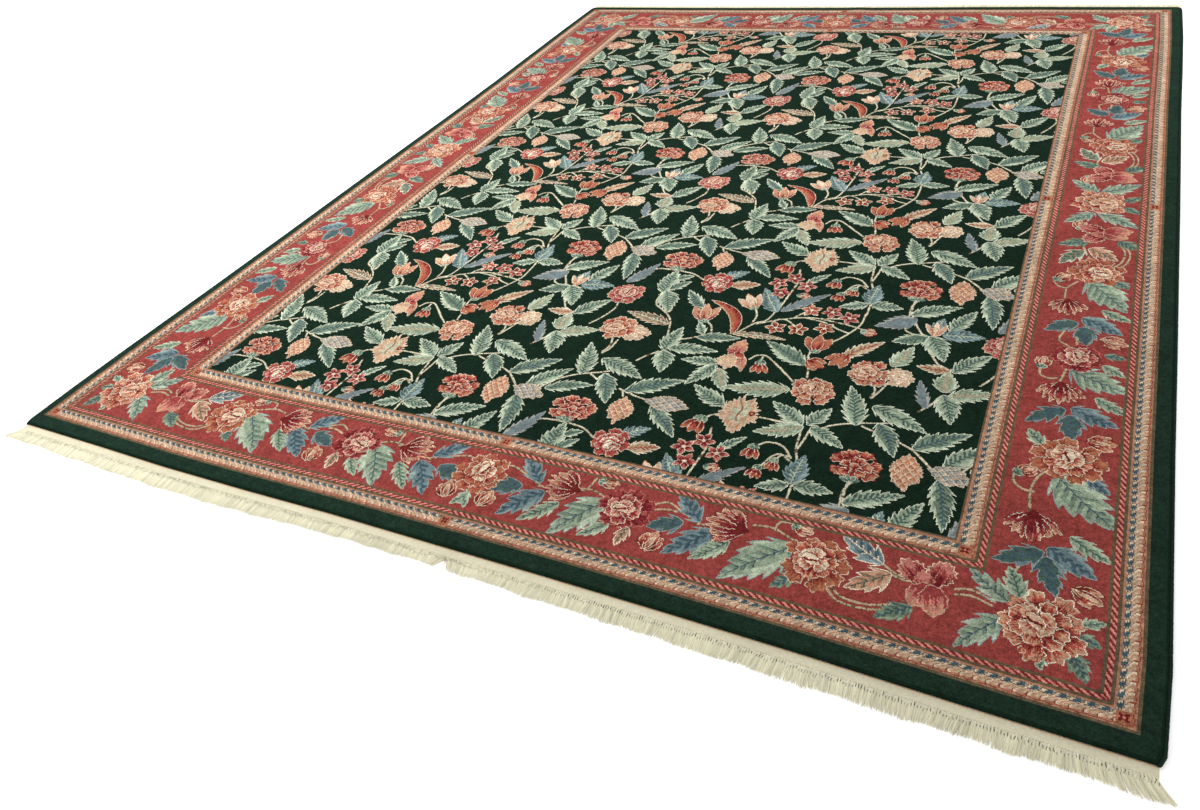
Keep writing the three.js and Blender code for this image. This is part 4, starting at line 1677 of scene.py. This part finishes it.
def cord_piece(name, side, pitch, yarn, material):
    """An overcast cord: turns of yarn laid side by side round the edge."""
    along = np.linspace(0, 1, BLOCKS_ALONG + 1)
    _, y = plan_point(np.full(along.shape, 0.0 if side < 0 else 1.0), along, 0.0)
    x = side_edge(side, along) - side * (CORD_WIDTH / 2 + CORD_TUCK)
    sizes = {"Turns": int(PILE_LENGTH * MM / pitch), "Yarn": yarn, "Width": CORD_WIDTH * MM,
             "Height": CORD_HEIGHT * MM, "Seed": 11 + side, "Material": material}
    maker = Maker("Overcast turns", sizes)
    points = maker.resample(maker.path(), maker.size("Turns"))
    yarn_size = maker.size("Yarn")
    hoop = maker.ring(TURN_SIDES, (maker.size("Width") - yarn_size) * 0.5)
    turn = maker.tube(hoop, maker.ring(YARN_SIDES, yarn_size * 0.5))
    flattening = (1.0, 1.0, CORD_HEIGHT / CORD_WIDTH)
    upright = maker.node("GeometryNodeTransform", None, {
        "Geometry": turn, "Rotation": (math.pi / 2, 0.0, 0.0), "Scale": flattening})
    tilt = maker.vector(maker.random(-0.12, 0.12, 1), 0.0, maker.random(-0.1, 0.22, 2))
    size = maker.vector(maker.random(1.06, 1.14, 3), 1.0, 1.1)
    turns = maker.placed(points, upright, Rotation=tilt, Scale=size)
    maker.finish(maker.store(turns, "turn", maker.random(0.0, 1.0, 4)))
    return maker.build(guide(name, np.stack([x, y, np.full(x.shape, CORD_HEIGHT / 2)], -1)))


def fringe_guide(name, end):
    """The line of the fringe's roots, with how far each strand reaches and how far its tip leans aside."""
    across = np.linspace(FRINGE_INSET, 1 - FRINGE_INSET, FRINGE_POINTS)
    x, y = end_point(across, end, KILIM_WIDTH)
    ragged = 1.6 * np.sin(across * 97.0) + 1.1 * np.sin(across * 211.0 + 1.3)
    reach = end_row(2, across, end) - KILIM_WIDTH - FRINGE_SHORT + ragged
    flare = CORNER_FLARE * (np.clip(1 - (1 - across) / CORNER_FLARE_REACH, 0, 1) ** 1.5
                            - np.clip(1 - across / CORNER_FLARE_REACH, 0, 1) ** 1.5)
    sway = 2.4 * np.sin(across * 41.0 + end) + 1.5 * np.sin(across * 133.0)
    if end < 0:
        beside = (across - PARTING) * RUG_WIDTH
        pull = np.exp(-np.abs(beside) / PARTING_REACH)
        sway = sway * (1 - pull) + PARTING_LEAN * np.sign(beside) * pull
    places = np.stack([x, y, np.zeros(x.shape)], -1)
    return guide(name, places, reach=reach * MM, lean=(flare + sway) * MM)


def fringe_piece(name, end, strands, knots, yarn, material):
    """A loose fringe: warps knotted in a row against the strip, then strands lying where they fell."""
    base = fringe_guide(name, end)
    sizes = {"Strands": strands, "Knots": knots, "Yarn": yarn, "Outward": float(end), "Seed": 21 + end,
             "Material": material}
    maker = Maker("Knotted fringe", sizes)
    outward = maker.size("Outward")
    path = maker.path()
    kept = maker.math("GREATER_THAN", maker.named("reach"), SHORTEST_STRAND * MM)
    knot_steps = maker.size("Knots") - 1.0
    pitch = RUG_WIDTH * MM / knot_steps

    def row_of(shape, salt, scale, offset, low, high):
        """One small solid at each knot's place, moved by an offset, with a tone from low to high."""
        seats = maker.moved(maker.resample(path, maker.size("Knots")), offset)
        turn = maker.vector(0.0, 0.0, maker.random(-0.3, 0.3, salt))
        solids = maker.placed(seats, shape, Selection=kept, Rotation=turn, Scale=scale)
        return maker.store(solids, "tone", maker.random(low, high, salt + 1))

    knot = maker.node("GeometryNodeMeshIcoSphere", None, {"Radius": MM, "Subdivisions": 2})
    knot_size = maker.vector(maker.random(1.7, 2.2, 1), maker.random(2.4, 3.2, 2), maker.random(1.0, 1.3, 3))
    knot_seat = maker.vector(
        maker.random(-0.0004, 0.0004, 5), outward * maker.random(0.001, 0.003, 6), 0.0017)
    row = row_of(knot, 4, knot_size, knot_seat, 0.4, 1.0)
    # Near-black solids in the gaps between the knots: painted shadow where the bundles part
    gap_shadow = maker.node("GeometryNodeMeshIcoSphere", None, {"Radius": MM, "Subdivisions": 1})
    gap_shadow_size = maker.vector(maker.random(0.5, 1.3, 7), maker.random(2.5, 6.5, 8), 1.2)
    gap_shadow_seat = maker.vector(pitch * 0.5, outward * maker.random(0.005, 0.012, 10), 0.0025)
    gap_shadows = row_of(gap_shadow, 9, gap_shadow_size, gap_shadow_seat, -4.2, -1.8)

    stem = maker.node("GeometryNodeCurvePrimitiveLine", None, {"End": (0.0, 0.0, 0.0001)})
    stem = maker.store(maker.resample(stem, 7), "step", maker.node("GeometryNodeSplineParameter"), "POINT")
    number = maker.node("GeometryNodeInputIndex")
    in_knots = number * knot_steps / (maker.size("Strands") - 1.0)
    gather = (maker.floor(in_knots + 0.5) - in_knots) * pitch
    root = maker.vector(
        maker.random(-0.0003, 0.0003, 12), outward * maker.random(-0.0005, 0.0025, 13),
        maker.random(0.0, 0.0009, 14))
    roots = maker.moved(maker.resample(path, maker.size("Strands")), root)
    hair = maker.placed(roots, stem, Selection=kept)
    hair = maker.store(hair, "gather", gather)
    clump = maker.noise(maker.node("GeometryNodeInputPosition"), 150.0, 2.0)
    hair = maker.store(hair, "tone", maker.random(-0.4, 0.8, 15) + (clump - 0.5) * 4.0)
    hair = maker.store(hair, "share", maker.random(0.9, 1.03, 16))
    hair = maker.store(hair, "stray", maker.random(-1.0, 1.0, 17))
    hair = maker.node("GeometryNodeRealizeInstances", None, {"Geometry": hair})

    step = maker.named("step")
    place = maker.node("GeometryNodeInputPosition")
    wander = maker.noise(place, 18.0, 1.0) - 0.5
    lock = maker.noise(place, 95.0, 2.0) - 0.5
    held = maker.math("MAXIMUM", 1.0 - step * 2.6, 0.0)
    aside = ((maker.named("lean") + wander * 0.016 + lock * 0.006) * step ** 1.3
             + maker.named("gather") * held * 0.75 + maker.named("stray") ** 3.0 * step * 0.0022)
    away = outward * maker.named("reach") * maker.named("share") * step
    lift = 0.0021 - step ** 0.6 * 0.0012
    lying = maker.moved(hair, maker.vector(aside, away, lift))
    thickness = maker.size("Yarn") * 0.5 * (1.0 - step ** 6.0 * 0.6)
    strand = maker.tube(lying, maker.ring(YARN_SIDES, 1.0), Scale=thickness, **{"Fill Caps": True})
    maker.finish(row, gap_shadows, strand)
    return maker.build(base)


# Settings, one group for each kind of piece

def colour_setting(name, description, colour):
    """A colour that the user can change, from sRGB values."""
    return bpy.props.FloatVectorProperty(
        name=name, description=description, subtype="COLOR", min=0, max=1, default=linear(colour)[:3])


def length_setting(name, description, metres):
    """A length that the user can change."""
    return bpy.props.FloatProperty(name=name, description=description, unit="LENGTH", default=metres)


def count_setting(name, description, number, low, high):
    """A count that the user can change."""
    return bpy.props.IntProperty(name=name, description=description, default=number, min=low, max=high)


class RugColours(bpy.types.PropertyGroup):
    field: colour_setting("Field", "Wool of the field's ground", YARNS["forest"])
    margin: colour_setting("Margin", "Wool of the plain band outside the guards", YARNS["margin"])
    border: colour_setting("Border", "Wool of the border's ground", YARNS["red"])
    cord: colour_setting("Cords", "Wool of the overcast side cords", CORD_WOOL)
    cotton: colour_setting("Strips", "Cotton of the end strips", STRIP_COTTON)
    fringe: colour_setting("Fringe", "Cotton of the warps", FRINGE_COTTON)


class RugPile(bpy.types.PropertyGroup):
    height: length_setting("Height", "Height of the pile's face over the floor", 0.011)


class RugCords(bpy.types.PropertyGroup):
    pitch: length_setting("Pitch", "Distance from one turn of the overcast to the next", 0.003)
    yarn: length_setting("Yarn", "Thickness of the overcast yarn", 0.0032)


class RugStrips(bpy.types.PropertyGroup):
    threads: count_setting("Threads", "Warps shown across the width of an end strip", 1080, 60, 1600)


class RugFringes(bpy.types.PropertyGroup):
    strands: count_setting("Strands", "Loose strands of one fringe", 2600, 100, 3000)
    knots: count_setting("Knots", "Warp knots in the row against the strip", 530, 20, 600)
    yarn: length_setting("Yarn", "Thickness of a strand", 0.0023)


class RugStage(bpy.types.PropertyGroup):
    light: bpy.props.FloatProperty(
        name="Light", description="Brightness of the white surroundings", default=0.85, min=0)
    lamp: bpy.props.FloatProperty(
        name="Lamp", description="Power of the soft lamp, which the fill lamp has a share of", unit="POWER",
        default=180.0, min=0)
    lens: bpy.props.FloatProperty(
        name="Lens", description="Focal length of the camera", unit="CAMERA", default=27.12, min=1)


SETTINGS = {
    "rug_colours": RugColours,
    "rug_pile": RugPile,
    "rug_cords": RugCords,
    "rug_strips": RugStrips,
    "rug_fringes": RugFringes,
    "rug_stage": RugStage,
}


# Operators, one for each kind of piece and one for the stage

class OBJECT_OT_rug_pile(bpy.types.Operator):
    """Knots the wool pile from its chart"""
    bl_idname = "object.rug_pile"
    bl_label = "Add Pile"

    def execute(self, context):
        points, faces, top_faces, rim_count, columns = pile_mesh(context.scene.rug_pile.height / MM)
        pile = mesh_object("pile.wool", points, faces)
        pile_knots(pile.data, rug_chart().yarns)
        pile_maps(pile.data, top_faces, rim_count, columns)
        pile.data.materials.append(pile_finish(context.scene.rug_colours))
        settle(pile, "pile")
        return {"FINISHED"}


class OBJECT_OT_rug_cords(bpy.types.Operator):
    """Overcasts a cord along each side"""
    bl_idname = "object.rug_cords"
    bl_label = "Add Side Cords"

    def execute(self, context):
        sizes = context.scene.rug_cords
        wool = cord_finish(context.scene.rug_colours)
        for side, where in ((-1, "left"), (1, "right")):
            cord = cord_piece(f"cord.{where}", side, sizes.pitch, sizes.yarn, wool)
            settle(cord, f"side_cord_{where}")
        return {"FINISHED"}


class OBJECT_OT_rug_strips(bpy.types.Operator):
    """Weaves the flat cotton strip at each end"""
    bl_idname = "object.rug_strips"
    bl_label = "Add End Strips"

    def execute(self, context):
        cotton = strip_finish(context.scene.rug_colours)
        for end, where in ((-1, "front"), (1, "back")):
            strip = strip_piece(f"kilim.{where}", end, cotton, context.scene.rug_strips.threads)
            settle(strip, f"kilim_{where}")
        return {"FINISHED"}


class OBJECT_OT_rug_fringes(bpy.types.Operator):
    """Knots the warps at each end and lays their fringe"""
    bl_idname = "object.rug_fringes"
    bl_label = "Add Fringes"

    def execute(self, context):
        sizes = context.scene.rug_fringes
        cotton = fringe_finish(context.scene.rug_colours)
        for end, where in ((-1, "front"), (1, "back")):
            fringe = fringe_piece(f"fringe.{where}", end, sizes.strands, sizes.knots, sizes.yarn, cotton)
            settle(fringe, f"fringe_{where}")
        return {"FINISHED"}


class OBJECT_OT_rug_stage(bpy.types.Operator):
    """Lays the pale floor and sets the white surroundings, the soft lamps and the camera"""
    bl_idname = "object.rug_stage"
    bl_label = "Add Stage"

    def execute(self, context):
        scene = context.scene
        sizes = scene.rug_stage
        floor_paint = Finish("Pale floor", Roughness=0.95, Specular_IOR_Level=0.0, Base_Color=FLOOR_WHITE,
                             Emission_Color=FLOOR_WHITE, Emission_Strength=FLOOR_GLOW)
        mesh = bpy.data.meshes.new("floor")
        corners = [(x * FLOOR_REACH, y * FLOOR_REACH, FLOOR_LEVEL)
                   for x, y in ((-1, -1), (1, -1), (1, 1), (-1, 1))]
        mesh.from_pydata(corners, [], [(0, 1, 2, 3)])
        mesh.materials.append(floor_paint.material)
        scene_object(mesh)

        world = bpy.data.worlds.new("White surroundings")
        world.use_nodes = True
        background = world.node_tree.nodes["Background"]
        background.inputs["Color"].default_value = WHITE
        background.inputs["Strength"].default_value = sizes.light
        scene.world = world
        scene.view_settings.view_transform = "Standard"

        for name, place, angles, breadth, share in LAMPS:
            lamp = bpy.data.lights.new(name, "AREA")
            lamp.shape = "SQUARE"
            lamp.size = breadth
            lamp.energy = sizes.lamp * share
            scene_object(lamp, place, angles)

        camera = bpy.data.cameras.new("Camera")
        camera.lens = sizes.lens
        camera.clip_end = VIEW_REACH
        scene.camera = scene_object(camera, CAMERA_PLACE, CAMERA_ANGLES)
        return {"FINISHED"}


class VIEW3D_PT_rug(bpy.types.Panel):
    """Sizes and colours of the rug, and a button for each kind of piece"""
    bl_label = "Rug"
    bl_idname = "VIEW3D_PT_rug"
    bl_space_type = "VIEW_3D"
    bl_region_type = "UI"
    bl_category = "Rug"

    def draw(self, context):
        column = self.layout.column()
        for name, group in SETTINGS.items():
            for title in group.__annotations__:
                column.prop(getattr(context.scene, name), title)
            column.separator()
        for operator in OPERATORS:
            column.operator(operator.bl_idname)


OPERATORS = (OBJECT_OT_rug_cords, OBJECT_OT_rug_strips, OBJECT_OT_rug_fringes, OBJECT_OT_rug_pile,
             OBJECT_OT_rug_stage)


def register():
    for group in SETTINGS.values():
        bpy.utils.register_class(group)
    for operator in OPERATORS:
        bpy.utils.register_class(operator)
    bpy.utils.register_class(VIEW3D_PT_rug)
    for name, group in SETTINGS.items():
        setattr(bpy.types.Scene, name, bpy.props.PointerProperty(type=group))


def unregister():
    for name in SETTINGS:
        delattr(bpy.types.Scene, name)
    bpy.utils.unregister_class(VIEW3D_PT_rug)
    for operator in reversed(OPERATORS):
        bpy.utils.unregister_class(operator)
    for group in reversed(SETTINGS.values()):
        bpy.utils.unregister_class(group)


def main():
    """Builds the rug and its stage."""
    register()
    bpy.ops.object.rug_cords()
    bpy.ops.object.rug_strips()
    bpy.ops.object.rug_fringes()
    bpy.ops.object.rug_pile()
    bpy.ops.object.rug_stage()


if __name__ == "__main__":
    main()
